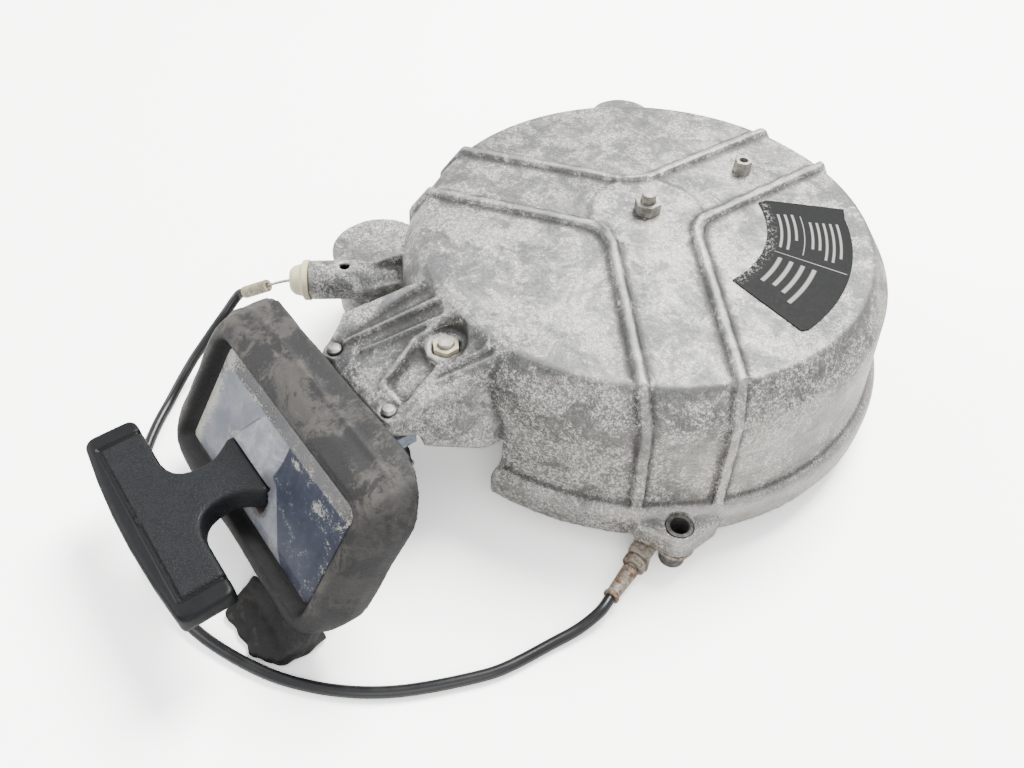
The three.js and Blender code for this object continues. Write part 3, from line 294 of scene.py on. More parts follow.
def grip_material():
    """Charcoal plastic: a leather-like grain on the core, smooth on the band."""
    s = Shader("grip_plastic")
    core = s.attribute("core")
    groove = s.attribute("groove")
    patch = s.noise(90, 7, 0.7)
    scuff = s.noise(700, 5, 0.75)
    base = s.mix(s.both(s.step(patch, 0.45, 0.75), 0.4), (0.0062, 0.0078, 0.0094), (0.019, 0.0225, 0.026))
    base = s.mix(s.step(core, 0, 1, 0.8, 0), base, (0.0014, 0.0019, 0.0034))
    base = s.mix(s.both(s.step(scuff, 0.62, 0.72), 0.3), base, (0.08, 0.08, 0.078))
    # painted shade: the groove between core and band is painted nearly black
    base = s.mix(s.step(groove, 0.1, 0.55, 0, 0.97), base, (0.002, 0.002, 0.002))
    s.set(base=base, rough=s.step(patch, 0.3, 0.7, 0.4, 0.55), shine=0.28)
    hide = s.both(s.step(s.cells(1050), 0.0, 0.6), core)
    fine = s.bump(hide, 0.00035, 0.6)
    s.set(normal=s.bump(s.noise(1900, 3, 0.6), 0.00012, 0.5, fine))
    return s.material


def plate_material():
    """Worn blue-grey paint, chalky towards the left edge and speckled on the upper border.

    u runs across the plate and v up it. The hood over the handle's seat is a painted highlight, with painted
    shade along its crease and beside it, and right of its crease the navy is a painted dark reflection.
    """
    s = Shader("worn_paint")
    u, v, w = s.axes(s.attribute("local", "Vector"))
    patch = s.noise(85, 8, 0.74, warp=0.6)
    fleck = s.noise(900, 6, 0.8)
    mottle = s.maths("ADD", s.both(fleck, 0.5), s.both(patch, 0.5))

    def spot(across, up, wide, high):
        du = s.maths("DIVIDE", s.maths("SUBTRACT", u, across), wide)
        dv = s.maths("DIVIDE", s.maths("SUBTRACT", v, up), high)
        return s.step(s.maths("ADD", s.both(du, du), s.both(dv, dv)), 1.0, 0.0)

    base = s.mix(s.step(patch, 0.38, 0.62), (0.185, 0.2, 0.238), (0.26, 0.275, 0.315))
    base = s.mix(s.both(spot(-0.042, -0.005, 0.014, 0.01), 0.45), base, (0.1, 0.115, 0.16))
    lean = s.maths("SUBTRACT", u, s.maths("ADD", -0.0289, s.both(v, 0.6)))
    # painted highlight: the hood over the handle's seat is lightened like a lit facet
    hood_highlight = s.both(s.band(v, -0.004, 0.0215, 0.001), s.step(u, 0.0125, 0.0095))
    hood_highlight = s.both(s.step(lean, 0.0, 0.001), hood_highlight)
    hood_highlight_tone = s.mix(s.step(patch, 0.4, 0.6), (0.26, 0.275, 0.31), (0.44, 0.46, 0.5))
    base = s.mix(s.both(hood_highlight, s.step(u, -0.02, 0.008, 0.75, 0.95)), base, hood_highlight_tone)
    # painted shade: a dark patch beside the handle's neck, at the hood's lower right
    base = s.mix(s.both(spot(0.009, -0.004, 0.008, 0.013), 0.8), base, (0.055, 0.055, 0.058))
    # painted shade: a thin dark line along the hood's crease
    line = s.both(s.band(lean, -0.0007, 0.0003, 0.0004), s.band(v, 0.002, 0.018, 0.001))
    base = s.mix(s.both(line, 0.75), base, (0.06, 0.065, 0.08))
    crease = s.maths("ADD", 0.0102, s.both(s.maths("MAXIMUM", s.maths("SUBTRACT", 0.0045, v), 0.0), 0.84))
    # painted reflection: right of the crease the paint is darkened to navy, a dark reflection
    dark_reflection = s.both(s.step(s.maths("SUBTRACT", u, crease), -0.0003, 0.0007), s.step(v, 0.0226, 0.022))
    dark_reflection_tone = s.mix(s.step(patch, 0.35, 0.65), (0.022, 0.028, 0.05), (0.038, 0.047, 0.08))
    base = s.mix(s.both(dark_reflection, 0.95), base, dark_reflection_tone)
    border = s.step(v, 0.0218, 0.0228)
    strip = s.mix(s.step(u, -0.005, 0.012), (0.1, 0.096, 0.092), (0.23, 0.21, 0.18))
    strip = s.mix(s.both(s.step(mottle, 0.54, 0.47), 0.7), strip, (0.045, 0.046, 0.052))
    base = s.mix(s.both(border, s.step(patch, 0.4, 0.6, 0.65, 1.0)), base, strip)
    edge = s.step(s.maths("ABSOLUTE", u), 0.0572, 0.058)
    left = s.step(s.maths("ADD", u, s.both(patch, 0.02)), -0.036, -0.05)
    lip = s.either(spot(-0.03, -0.001, 0.011, 0.006), spot(0.0215, 0.0065, 0.005, 0.0035))
    lip = s.either(lip, s.either(spot(0.048, 0.0155, 0.01, 0.005), spot(0.019, 0.019, 0.007, 0.003)))
    rim = s.band(v, 0.0215, 0.0238, 0.0006)
    worn = s.maths("ADD", s.both(left, 0.088), s.maths("ADD", s.both(border, 0.016), s.both(edge, 0.03)))
    worn = s.maths("ADD", worn, s.maths("ADD", s.both(lip, 0.066), s.both(rim, 0.036)))
    worn = s.step(s.maths("ADD", worn, mottle), 0.565, 0.6)
    base = s.mix(s.both(worn, 0.88), base, s.mix(patch, (0.42, 0.41, 0.36), (0.66, 0.65, 0.59)))
    rust = s.maths("ADD", s.both(spot(0.0075, -0.016, 0.012, 0.009), 0.3), mottle)
    base = s.mix(s.both(s.step(rust, 0.58, 0.72), 0.9), base, (0.05, 0.038, 0.03))
    rough = s.maths("ADD", s.step(fleck, 0.3, 0.7, 0.28, 0.42), s.both(worn, 0.2))
    s.set(base=base, metallic=0.15, rough=rough)
    fine = s.bump(fleck, 0.0003, 0.5)
    s.set(normal=s.bump(s.both(worn, -1.0), 0.0003, 0.6, fine))
    return s.material


def rubber_material():
    """Old rubber: grey with dark smears on its outside, with painted shade on its lower and right sides and
    on its smooth inside.
    """
    s = Shader("aged_rubber")
    local = s.attribute("local", "Vector")
    u, v, w = s.axes(local)
    smear = s.noise(24, 5, 0.6, warp=0.7)
    patch = s.noise(70, 8, 0.72, warp=0.9)
    brush = s.noise(520, 6, 0.75, stretch=(1.0, 1.0, 0.1), vector=local)
    fine = s.noise(1300, 5, 0.78)
    tone = s.maths("ADD", s.both(smear, 0.5), s.maths("ADD", s.both(patch, 0.3), s.both(brush, 0.2)))
    base = s.mix(s.step(tone, 0.465, 0.52), (0.021, 0.0208, 0.0214), (0.066, 0.0615, 0.0565))
    pale = s.step(s.maths("ADD", s.both(patch, 0.7), s.both(smear, 0.3)), 0.535, 0.55)
    base = s.mix(s.both(pale, 0.45), base, (0.112, 0.102, 0.092))
    # painted shade: the seal's lower and right sides are darkened
    under = s.either(s.step(v, -0.02, -0.034), s.both(s.step(u, 0.071, 0.077), 0.8))
    base = s.mix(s.both(under, 0.72), base, (0.016, 0.016, 0.017))
    # painted shade: inside the opening, down towards the plate, the rubber is darkened
    inner = s.both(s.band(u, -0.0715, 0.0715, 0.001), s.band(v, -0.0355, 0.0355, 0.001))
    inner = s.both(inner, s.step(w, 0.0052, 0.003))
    base = s.mix(s.both(inner, 0.85), base, (0.0085, 0.0085, 0.009))
    # the flap is darker towards the table, with brownish patches
    flap = s.both(s.step(v, -0.0535, -0.0565), s.step(s.axes(s.coords)[2], 0.02, 0.014))
    flap_tone = s.mix(s.step(patch, 0.52, 0.66), (0.006, 0.006, 0.0065), (0.045, 0.04, 0.03))
    base = s.mix(s.both(flap, 0.92), base, flap_tone)
    chalk = s.both(s.step(fine, 0.57, 0.66), s.step(patch, 0.42, 0.58))
    base = s.mix(s.both(chalk, s.step(flap, 0, 1, 0.35, 0.12)), base, (0.15, 0.142, 0.13))
    s.set(base=base, rough=s.step(patch, 0.3, 0.7, 0.42, 0.62), shine=0.4)
    low = s.bump(s.maths("ADD", patch, s.both(brush, 0.5)), 0.0018, 0.4)
    s.set(normal=s.bump(fine, 0.0003, 0.6, low))
    return s.material


def label_material():
    """A dark blank film with plain pale bars where such a label has its lines."""
    s = Shader("blank_film")
    x, y, z = s.axes(s.coords)
    across = s.maths("SUBTRACT", x, AXIS.x)
    along = s.maths("SUBTRACT", y, AXIS.y)
    radius = s.maths("SQRT", s.maths("ADD", s.both(across, across), s.both(along, along)))
    degrees = s.both(s.maths("ARCTAN2", along, across), 180 / math.pi)

    def rows(inner, outer, pitch, low, high):
        """Plain bars, one above the other outward, each of its own length."""
        count = s.maths("DIVIDE", s.maths("SUBTRACT", radius, inner), pitch)
        index = s.maths("FLOOR", count)
        bar = s.band(s.maths("SUBTRACT", count, index), 0.28, 0.62, 0.07)
        odd = s.maths("FRACT", s.both(s.maths("SINE", s.both(s.maths("ADD", index, low), 12.99)), 437.5))
        begin = s.maths("ADD", s.both(odd, (high - low) * 0.35), low)
        along = s.both(s.step(s.maths("SUBTRACT", degrees, begin), 0, 0.3), s.step(degrees, high, high - 0.3))
        inside = s.band(radius, inner, outer, 0.0001)
        return s.both(s.both(bar, inside), along)

    bars = s.either(rows(0.0725, 0.0845, 0.004, 31.5, 55), rows(0.0895, 0.1085, 0.0038, 31, 51))
    bars = s.either(bars, rows(0.0735, 0.0983, 0.0062, 5.5, 25.5))
    rules = s.both(s.band(radius, 0.0865, 0.087, 0.0001), s.band(degrees, 31, 54, 0.1))
    rules = s.either(rules, s.both(s.band(degrees, 28.2, 28.5, 0.05), s.band(radius, 0.072, 0.111, 0.0002)))
    bars = s.either(bars, rules)
    scuff = s.noise(500, 6, 0.75)
    chips = s.both(s.step(radius, 0.0735, 0.0675), s.step(scuff, 0.52, 0.6))
    base = s.mix(s.both(s.step(scuff, 0.55, 0.7), 0.25), (0.0085, 0.009, 0.0098), (0.028, 0.028, 0.028))
    base = s.mix(s.both(bars, 0.8), base, (0.42, 0.42, 0.41))
    base = s.mix(s.both(chips, 0.8), base, (0.4, 0.4, 0.38))
    s.set(base=base, rough=s.step(scuff, 0.3, 0.7, 0.5, 0.62), shine=0.12)
    s.set(normal=s.bump(scuff, 0.0001, 0.4))
    return s.material


def cable_material():
    s = Shader("cable_jacket")
    patch = s.noise(60, 6, 0.65)
    s.set(base=s.mix(s.both(s.step(patch, 0.5, 0.75), 0.3), (0.009, 0.0095, 0.011), (0.05, 0.05, 0.048)))
    s.set(rough=s.step(patch, 0.3, 0.7, 0.26, 0.42), coat=0.25, coat_rough=0.2)
    s.set(normal=s.bump(s.noise(600, 3, 0.5), 0.00008, 0.5))
    return s.material


def sleeve_material():
    s = Shader("yellowed_sleeve")
    patch = s.noise(260, 5, 0.6)
    s.set(base=s.mix(s.step(patch, 0.35, 0.65), (0.42, 0.38, 0.26), (0.62, 0.57, 0.42)))
    s.set(rough=s.step(patch, 0.3, 0.7, 0.22, 0.36), glow=0.35, ior=1.45)
    return s.material


def rope_material():
    s = Shader("rope_weave")
    weave = s.both(s.waves(260, "DIAGONAL"), s.waves(240, "Y"))
    base = s.mix(s.step(weave, 0.1, 0.6), (0.2, 0.18, 0.14), (0.55, 0.52, 0.44))
    s.set(base=base, rough=s.step(s.noise(400), 0.3, 0.7, 0.75, 0.95), sheen=0.3)
    s.set(normal=s.bump(weave, 0.0005, 0.8))
    return s.material


STEEL = metal_material("plain_steel", (0.62, 0.6, 0.57), (0.34, 0.33, 0.31), 0.92, 0.33)
DULL_STEEL = metal_material("dulled_steel", (0.3, 0.29, 0.27), (0.14, 0.135, 0.125), 0.85, 0.48)
RUSTY = metal_material("rusted_steel", (0.52, 0.47, 0.4), (0.24, 0.2, 0.165), 0.7, 0.55, 0.4, 0.0003)
AGED_STEEL = metal_material("aged_steel", (0.5, 0.48, 0.44), (0.25, 0.24, 0.215), 0.8, 0.4)
SPRING = metal_material("spring_steel", (0.22, 0.22, 0.22), (0.09, 0.09, 0.09), 0.92, 0.35)
YELLOW_ZINC = metal_material("cream_zinc", (0.75, 0.7, 0.52), (0.52, 0.47, 0.33), 0.45, 0.4, edge=0.0006)
BRONZE = metal_material("bronze", (0.42, 0.28, 0.12), (0.22, 0.14, 0.06), 0.9, 0.42)
BLUE_STEEL = metal_material("blue_coated_steel", (0.42, 0.46, 0.54), (0.24, 0.27, 0.34), 0.75, 0.32)
NYLON_CREAM = plastic_material("cream_nylon", (0.8, 0.74, 0.5), 0.4, (0.66, 0.58, 0.36), 0.3)
NYLON_DARK = plastic_material("dark_nylon", (0.03, 0.029, 0.027), 0.5, (0.11, 0.1, 0.09), 0.35)
CASTING = casting_material()
GRIP = grip_material()
PLATE = plate_material()
RUBBER = rubber_material()
LABEL = label_material()
CABLE = cable_material()
SLEEVE = sleeve_material()
ROPE = rope_material()

BY_NODE = {"shaft_nut": AGED_STEEL, "pivot_shaft": AGED_STEEL, "threaded_insert": AGED_STEEL}
BY_SLOT = {
    "casting": CASTING, "steel": STEEL, "dull_steel": DULL_STEEL, "rusty_steel": RUSTY,
    "spring_steel": SPRING, "yellow_zinc": YELLOW_ZINC, "bronze": BRONZE, "painted_plate": PLATE,
    "blue_steel": BLUE_STEEL,
    "handle_plastic": GRIP, "nylon_cream": NYLON_CREAM, "nylon_dark": NYLON_DARK, "seal_rubber": RUBBER,
    "cable_plastic": CABLE, "clear_sleeve": SLEEVE, "label_film": LABEL, "rope_fibre": ROPE,
}

# ---------------------------------------------------------------- mesh helpers


def give(obj, material):
    obj.data.materials.clear()
    obj.data.materials.append(material)
    return obj


def smooth(obj, degrees=32):
    obj.data.shade_smooth()
    obj.data.set_sharp_from_angle(angle=math.radians(degrees))
    return obj


def new_object(name, mesh):
    obj = bpy.data.objects.new(name, mesh)
    bpy.context.scene.collection.objects.link(obj)
    return obj


def points_of(mesh):
    flat = np.empty(len(mesh.vertices) * 3)
    mesh.vertices.foreach_get("co", flat)
    return flat.reshape(-1, 3)


def move_points(mesh, points):
    mesh.vertices.foreach_set("co", points.ravel())
    mesh.update()


def normals_of(mesh):
    flat = np.empty(len(mesh.vertices) * 3)
    mesh.vertices.foreach_get("normal", flat)
    return flat.reshape(-1, 3)


def relaxed(mesh, points, rounds, share=0.5):
    """The points after a number of rounds of averaging each with its neighbours."""
    edges = np.empty(len(mesh.edges) * 2, dtype=np.int64)
    mesh.edges.foreach_get("vertices", edges)
    a, b = edges.reshape(-1, 2).T
    count = np.bincount(a, minlength=len(points)) + np.bincount(b, minlength=len(points))
    points = points.copy()
    for _ in range(rounds):
        total = np.empty_like(points)
        for k in range(3):
            total[:, k] = np.bincount(a, points[b, k], len(points))
            total[:, k] += np.bincount(b, points[a, k], len(points))
        points += share * (total / count[:, None] - points)
    return points


def moulded(name, nodes, voxel, rounds):
    """One even, soft-edged mesh round the CAD nodes' solids."""
    parts = bmesh.new()
    for node in nodes:
        parts.from_mesh(bpy.data.objects[node].data)
    mesh = bpy.data.meshes.new(name)
    parts.to_mesh(mesh)
    parts.free()
    obj = new_object(name, mesh)
    change = obj.modifiers.new("even", "REMESH")
    change.mode = "VOXEL"
    change.voxel_size = voxel
    evaluated = obj.evaluated_get(bpy.context.evaluated_depsgraph_get())
    even = bpy.data.meshes.new_from_object(evaluated)
    obj.modifiers.clear()
    obj.data = even
    move_points(even, relaxed(even, points_of(even), rounds))
    even.shade_smooth()
    return obj


def store(mesh, name, values, kind="FLOAT"):
    layer = mesh.attributes.new(name, kind, "POINT")
    field = "value" if kind == "FLOAT" else "vector"
    layer.data.foreach_set(field, np.asarray(values, dtype=np.float32).ravel())


COVER_TILT = 35.4  # the handle plate leans back from upright by this many degrees
COVER = Matrix.Translation(at(-10.2, -240, 40.4)) @ Matrix.Rotation(math.radians(90 - COVER_TILT), 4, "X")


def store_local(mesh):
    """Keeps each point's place across, up and out of the handle plate, in metres, and gives it."""
    inverse = np.array(COVER.inverted())
    local = points_of(mesh) @ inverse[:3, :3].T + inverse[:3, 3]
    store(mesh, "local", local, "FLOAT_VECTOR")
    return local


# ---------------------------------------------------------------- the stop cable, first

CABLE_RADIUS = 2.9
STOP_ANGLE = -125.5  # the plunger's direction round the case's axis
FOOT_DROP = 15  # the table is this far below the case's rim
REST_Z = CABLE_RADIUS + 0.1 - FOOT_DROP  # the height of the cable's middle where it lies on the table
CAP_END = 205  # the cap's outer end, from the case's axis
SPAN_STEPS = 8  # points made in each span of a route


def on_stop_axis(radius, turn=0.0, z=50.0):
    """A point for at(), this far from the case's axis and turned off the plunger's line by turn degrees."""
    angle = math.radians(STOP_ANGLE + turn)
    return Vector((radius * math.cos(angle), radius * math.sin(angle), z))


SLEEVE_MOUTH = on_stop_axis(CAP_END + 15, -0.5, 44.5)
SLEEVE_END = on_stop_axis(CAP_END + 31, -1.5, 35.5)
CABLE_ROUTE = [
    (-145, -203, 24), (-146, -213, 14.5), (-146, -221.5, 7), (-145, -230, 0.5), (-140, -242, -6.5),
    (-132, -254, -11), (-120, -267, REST_Z), (-104, -280, REST_Z), (-85, -291, REST_Z), (-62, -300, REST_Z),
    (-34, -305.5, REST_Z), (-6, -306, REST_Z), (21, -301, REST_Z), (55, -286, REST_Z), (73, -273.5, REST_Z),
    (90, -257, REST_Z), (104, -238, REST_Z), (119, -208, REST_Z), (124.5, -193, REST_Z),
    (128.8, -166, REST_Z + 0.2), (131.2, -150, -10.6), (131.4, -136.5, -7.6), (129, -128.5, -7.4),
]


def smooth_path(points):
    """Points along a centripetal spline through the given ones."""
    points = [Vector(p) for p in points]
    ends = [points[0] * 2 - points[1], *points, points[-1] * 2 - points[-2]]
    path = []
    for i in range(1, len(ends) - 2):
        p0, p1, p2, p3 = ends[i - 1:i + 3]
        t1 = (p1 - p0).length ** 0.5
        t2 = t1 + (p2 - p1).length ** 0.5
        t3 = t2 + (p3 - p2).length ** 0.5
        for k in range(SPAN_STEPS):
            t = t1 + (t2 - t1) * k / SPAN_STEPS
            a1 = p0 * (t1 - t) / t1 + p1 * t / t1
            a2 = p1 * (t2 - t) / (t2 - t1) + p2 * (t - t1) / (t2 - t1)
            a3 = p2 * (t3 - t) / (t3 - t2) + p3 * (t - t2) / (t3 - t2)
            b1 = a1 * (t2 - t) / t2 + a2 * t / t2
            b2 = a2 * (t3 - t) / (t3 - t1) + a3 * (t - t1) / (t3 - t1)
            path.append(b1 * (t2 - t) / (t2 - t1) + b2 * (t - t1) / (t2 - t1))
    path.append(points[-1])
    return path


def tube(name, path, radius, sides=24):
    """A closed round tube along a path."""
    mesh = bmesh.new()
    rings = []
    side = (path[1] - path[0]).orthogonal().normalized()
    for i, point in enumerate(path):
        ahead = (path[min(i + 1, len(path) - 1)] - path[max(i - 1, 0)]).normalized()
        side = (side - ahead * side.dot(ahead)).normalized()
        other = ahead.cross(side)
        ring = []
        for k in range(sides):
            turn = 2 * math.pi * k / sides
            ring.append(mesh.verts.new(point + (side * math.cos(turn) + other * math.sin(turn)) * radius))
        rings.append(ring)
    for first, second in zip(rings, rings[1:]):
        for k in range(sides):
            n = (k + 1) % sides
            mesh.faces.new((first[k], first[n], second[n], second[k]))
    mesh.faces.new(list(reversed(rings[0])))
    mesh.faces.new(rings[-1])
    made = bpy.data.meshes.new(name)
    mesh.to_mesh(made)
    mesh.free()
    return smooth(new_object(name, made), 40)


def make_cable():
    direction = (SLEEVE_END - SLEEVE_MOUTH).normalized()
    route = [SLEEVE_END + direction * 0.3, SLEEVE_END + direction * 5, *CABLE_ROUTE]
    path = [at(*p) for p in smooth_path(route)]
    cable = give(tube("stop_cable_jacket", path, CABLE_RADIUS / 1000), CABLE)
    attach(cable, "starter")
    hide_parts("stop_cable")


make_cable()

# ---------------------------------------------------------------- the cast case

CASE_SEGMENTS = 64
CASE_VOXEL = 0.00125
ROUND_FROM = 0.124  # metres; the bell is rounded off outside this radius, fully after ROUND_OVER more
ROUND_OVER = 0.006
ROUND_TO = 0.1495
SNOUT_FROM, SNOUT_TO = -148, -50  # the angles between which the snout meets the wall
SNOUT_TOP = 0.08
ARM_ANGLES = (-150, -33, 90)
ARM_HALF_ANGLE = 7.5
ARM_TOP = 0.017
CAVITY_DEPTH = 0.0013  # a groove this deep counts as one


def round_off(points):
    """Turns the bell's flat-sided outside, between its crown and its rim, into a true round."""
    rel = points - np.array(AXIS)
    radius = np.hypot(rel[:, 0], rel[:, 1])
    angle = np.arctan2(rel[:, 1], rel[:, 0])
    step = 2 * np.pi / CASE_SEGMENTS
    off = (angle % step) - step / 2
    true = radius * np.cos(off) / math.cos(step / 2)
    wanted = np.clip((radius - ROUND_FROM) / ROUND_OVER, 0, 1)
    z = rel[:, 2]
    snout = np.clip((math.radians(SNOUT_TO) - angle) / 0.03, 0, 1)
    snout *= np.clip((angle - math.radians(SNOUT_FROM)) / 0.03, 0, 1)
    wanted *= 1 - snout * (z < SNOUT_TOP)
    wanted *= radius < ROUND_TO
    for arm in ARM_ANGLES:
        away = np.abs((np.degrees(angle) - arm + 180) % 360 - 180)
        wanted *= np.clip(away - ARM_HALF_ANGLE + (z > ARM_TOP), 0, 1)
    share = 1 + (true / np.maximum(radius, 1e-6) - 1) * wanted
    out = points.copy()
    out[:, :2] = np.array(AXIS)[:2] + rel[:, :2] * share[:, None]
    return out


def make_case():
    """The case, with its grooves and crests kept as an attribute for the material."""
    case = moulded("case_casting", ["starter_case"], CASE_VOXEL, 2)
    mesh = case.data
    points = round_off(points_of(mesh))
    move_points(mesh, points)
    broad = relaxed(mesh, points, 22)
    cavity = np.einsum("ij,ij->i", broad - points, normals_of(mesh)) / CAVITY_DEPTH
    cavity = relaxed(mesh, np.repeat(np.clip(cavity, -1, 1)[:, None], 3, axis=1), 2)[:, 0]
    store(mesh, "cavity", cavity)
    give(case, CASTING)
    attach(case, "starter")
    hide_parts("starter_case")


make_case()

# ---------------------------------------------------------------- handle, plate and seal

ROPE_Z = 33
HANDLE_X = -18.7
GRIP_SPINE_Y = -301  # where the band's back meets the core
GRIP_CORE_HALF = 51.8  # half the core's length
GRIP_FRONT_Y = -272  # the groove is only cut beyond this
GROOVE_HALF_WIDTH = 0.95
GROOVE_DEPTH = 0.0016
HANDLE_VOXEL = 0.0008
SEAL_VOXEL = 0.0012
SEAL_INSIDE = (0.0735, 0.0375)  # half the seal's opening; inside it the plate's fit is left alone


def make_grip():
    """The whole handle as one mesh, with the groove between its core and its band cut in."""
    grip = moulded("grip", ["handle_grip", "handle_band"], HANDLE_VOXEL, 3)
    mesh = grip.data
    points = points_of(mesh)
    rel = (points - np.array(AXIS)) * 1000
    side = GRIP_CORE_HALF - np.abs(rel[:, 0] - HANDLE_X)
    front = rel[:, 1] - GRIP_SPINE_Y
    inside = np.minimum(side, front)
    outline = np.where((front < 0) & (side < 0), np.hypot(side, front), np.abs(inside))
    outer = np.hypot(np.maximum(-front, 0), np.maximum(-side, 0))
    line = np.where(inside < 0, outer, outline)
    in_grip = rel[:, 1] < GRIP_FRONT_Y
    groove = np.exp(-((line / GROOVE_HALF_WIDTH) ** 2)) * in_grip
    move_points(mesh, points - normals_of(mesh) * (groove * GROOVE_DEPTH)[:, None])
    store(mesh, "groove", groove)
    store(mesh, "core", (inside > 0).astype(float))
    give(grip, GRIP)
    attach(grip, "handle")
    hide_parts("handle_grip", "handle_band")


def make_plate():
    plate = moulded("painted_plate", ["handle_plate"], HANDLE_VOXEL, 3)
    store_local(plate.data)
    give(plate, PLATE)
    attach(plate, "starter")
    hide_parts("handle_plate")


def make_seal():
    """The seal, softly uneven, with a moulding line round it and a crumpled flap on the table."""
    seal = moulded("aged_seal", ["rubber_seal"], SEAL_VOXEL, 6)
    mesh = seal.data
    local = store_local(mesh)
    points = points_of(mesh)
    normals = normals_of(mesh)
    wander = np.array([noise.noise(Vector(p) * 28) for p in points])
    ripple = np.array([noise.noise(Vector(p) * 90) for p in points])
    ridge = np.exp(-(((local[:, 2] + 0.0062) / 0.0011) ** 2)) * (np.abs(local[:, 1]) > 0.036)
    height = wander * 0.0011 + ripple * 0.00035 + ridge * 0.0009
    rel = (points - np.array(AXIS)) * 1000
    flap = np.clip((rel[:, 2] + 2) / -4, 0, 1) * (rel[:, 1] < -250)
    crumple = np.array([noise.noise(Vector(p) * 150 + Vector((3, 5, 7))) for p in points])
    height = height * (1 - flap) + flap * crumple * 0.0016
    outside = (np.abs(local[:, 0]) > SEAL_INSIDE[0]) | (np.abs(local[:, 1]) > SEAL_INSIDE[1])
    moved = points + normals * (height * outside)[:, None]
    moved[:, 2] = np.maximum(moved[:, 2], 0.0001)
    move_points(mesh, moved)
    give(seal, RUBBER)
    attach(seal, "starter")
    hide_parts("rubber_seal")


make_grip()
make_plate()
make_seal()

# ---------------------------------------------------------------- rope to the handle


def make_rope():
    """The rope from the guide through the plate to the handle."""
    lead = bpy.data.objects["rope_lead"].data
    start = min((v.co for v in lead.vertices), key=lambda co: (co - at(0, 0, ROPE_Z)).length)
    start = Vector((start.x, start.y, at(0, 0, ROPE_Z).z))
    rel = (start - AXIS) * 1000
    places = ((rel.x, rel.y), (-6.6, -196), (-12.6, -210), (-17, -219), (HANDLE_X, -230), (HANDLE_X, -256),
              (HANDLE_X, -285))
    route = [(x, y, ROPE_Z) for x, y in places]
    path = [at(*p) for p in smooth_path(route)]
    rope = give(tube("rope_to_handle", path, 0.0026, 16), ROPE)
    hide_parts("rope_lead", "rope_pull")
    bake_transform(rope)


make_rope()

# ---------------------------------------------------------------- the plunger's wire and spring

PLUNGER_HEAD = 160.3  # from the case's axis, as are the rest
CAP_INSERT = 183.7
SPRING_TURNS = 7
SPRING_STEPS = 28  # points in each turn
SPRING_RADIUS = 6.2


def make_stop_wire():
    """The inner wire, whose far end stays at the sleeve while the plunger slides."""
    route = [on_stop_axis(PLUNGER_HEAD), on_stop_axis(CAP_INSERT), on_stop_axis(CAP_END), SLEEVE_MOUTH]
    route.append(SLEEVE_MOUTH.lerp(SLEEVE_END, 0.35))
    wire = give(tube("inner_wire", [at(*p) for p in smooth_path(route)], 0.00085, 14), STEEL)
    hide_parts("stop_wire")
    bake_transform(wire)


def make_plunger_spring():
    """The return spring, which closes up between the plunger's head and the cap."""
    outward = on_stop_axis(1, 0, 0)
    across = Vector((-outward.y, outward.x, 0))
    path = []
    for i in range(SPRING_TURNS * SPRING_STEPS + 1):
        turn = i / SPRING_STEPS
        share = min(max((turn - 0.8) / 5.4, 0), 1)
        centre = on_stop_axis(PLUNGER_HEAD + 0.9 + (CAP_INSERT - PLUNGER_HEAD - 1.8) * share)
        angle = turn * 2 * math.pi
        round_it = across * math.cos(angle) + Vector((0, 0, math.sin(angle)))
        path.append(at(*(centre + round_it * SPRING_RADIUS)))
    spring = give(tube("return_spring", path, 0.0007, 10), SPRING)
    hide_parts("plunger_spring")
    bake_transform(spring)


make_stop_wire()
make_plunger_spring()

# ---------------------------------------------------------------- every other CAD node


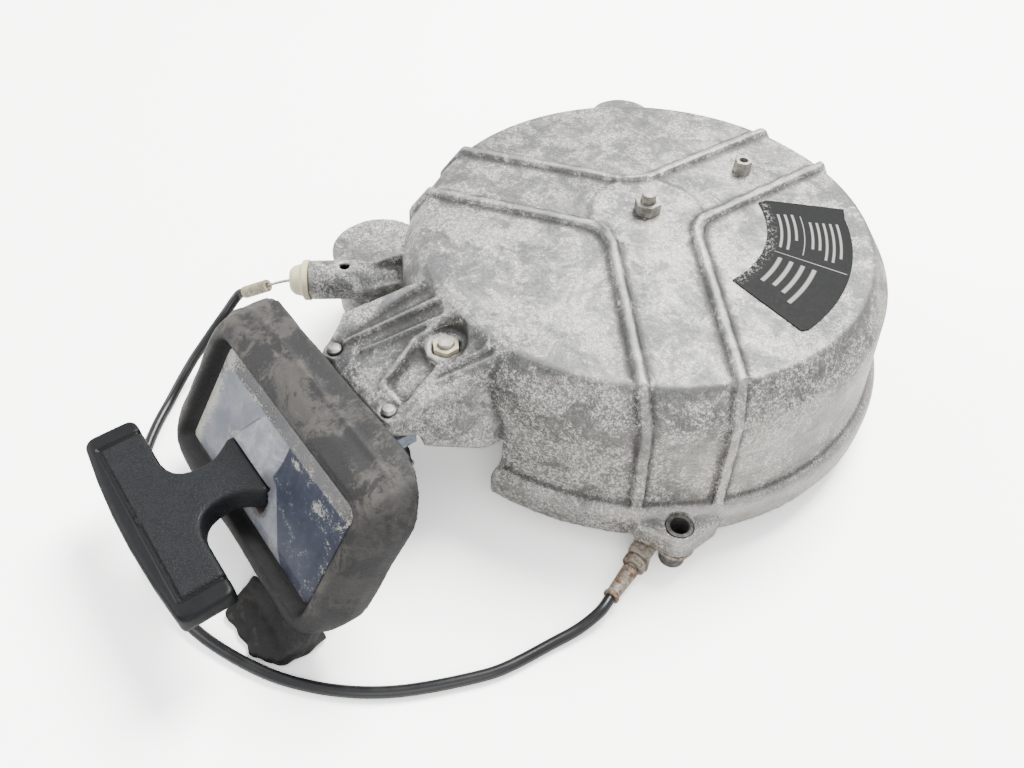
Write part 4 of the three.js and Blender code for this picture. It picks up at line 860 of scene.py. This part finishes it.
def finish_cad_nodes():
    slots = {entry["node"]: entry["material_slot"] for entry in frame["record"]["subparts"]}
    for node, slot in slots.items():
        obj = bpy.data.objects[node]
        if obj.hide_render:
            continue
        smooth(obj, 25 if node == "rope_drum" else 38)
        give(obj, BY_NODE.get(node, BY_SLOT[slot]))


finish_cad_nodes()

# ---------------------------------------------------------------- floor and light


FLOOR_HALF = 6
WORLD_STRENGTH = 0.86
LIGHT_COLOUR = (1.0, 0.985, 0.96)
LIGHT_AIM = Vector((0, 0, 0.05))


def make_stage():
    """A pale floor and a soft light. The floor is brighter to the camera than to the light it sends back."""
    corners = [(x * FLOOR_HALF, y * FLOOR_HALF, 0) for x, y in ((-1, -1), (1, -1), (1, 1), (-1, 1))]
    floor_mesh = bpy.data.meshes.new("floor")
    floor_mesh.from_pydata(corners, [], [(0, 1, 2, 3)])
    floor = new_object("floor", floor_mesh)
    s = Shader("pale_floor")
    patch = s.noise(2.2, 3, 0.5)
    paper = s.mix(patch, (0.80, 0.795, 0.785), (0.83, 0.825, 0.815))
    glare = s.mix(patch, (2.75, 2.74, 2.68), (2.9, 2.89, 2.84))
    seen = s.tree.nodes.new("ShaderNodeLightPath").outputs["Is Camera Ray"]
    s.set(base=s.mix(seen, paper, glare), rough=0.6, shine=0.2)
    s.set(normal=s.bump(s.noise(260, 3, 0.6), 0.0001, 0.15))
    give(floor, s.material)

    world = bpy.data.worlds.new("studio")
    bpy.context.scene.world = world
    world.use_nodes = True
    sky = world.node_tree.nodes["Background"]
    sky.inputs["Color"].default_value = (0.96, 0.975, 1.0, 1)
    sky.inputs["Strength"].default_value = WORLD_STRENGTH

    for name, place, size, watts in (
        ("key", (-0.25, 0.85, 1.45), 0.75, 59),
        ("fill", (1.3, -0.9, 1.2), 1.4, 13),
        ("front", (-1.1, -1.0, 1.1), 1.2, 16),
    ):
        data = bpy.data.lights.new(name, "AREA")
        data.size = size
        data.energy = watts
        data.color = LIGHT_COLOUR
        lamp = bpy.data.objects.new(name, data)
        bpy.context.scene.collection.objects.link(lamp)
        lamp.location = place
        lamp.rotation_mode = "QUATERNION"
        lamp.rotation_quaternion = (LIGHT_AIM - Vector(place)).to_track_quat("-Z", "Y")


make_stage()
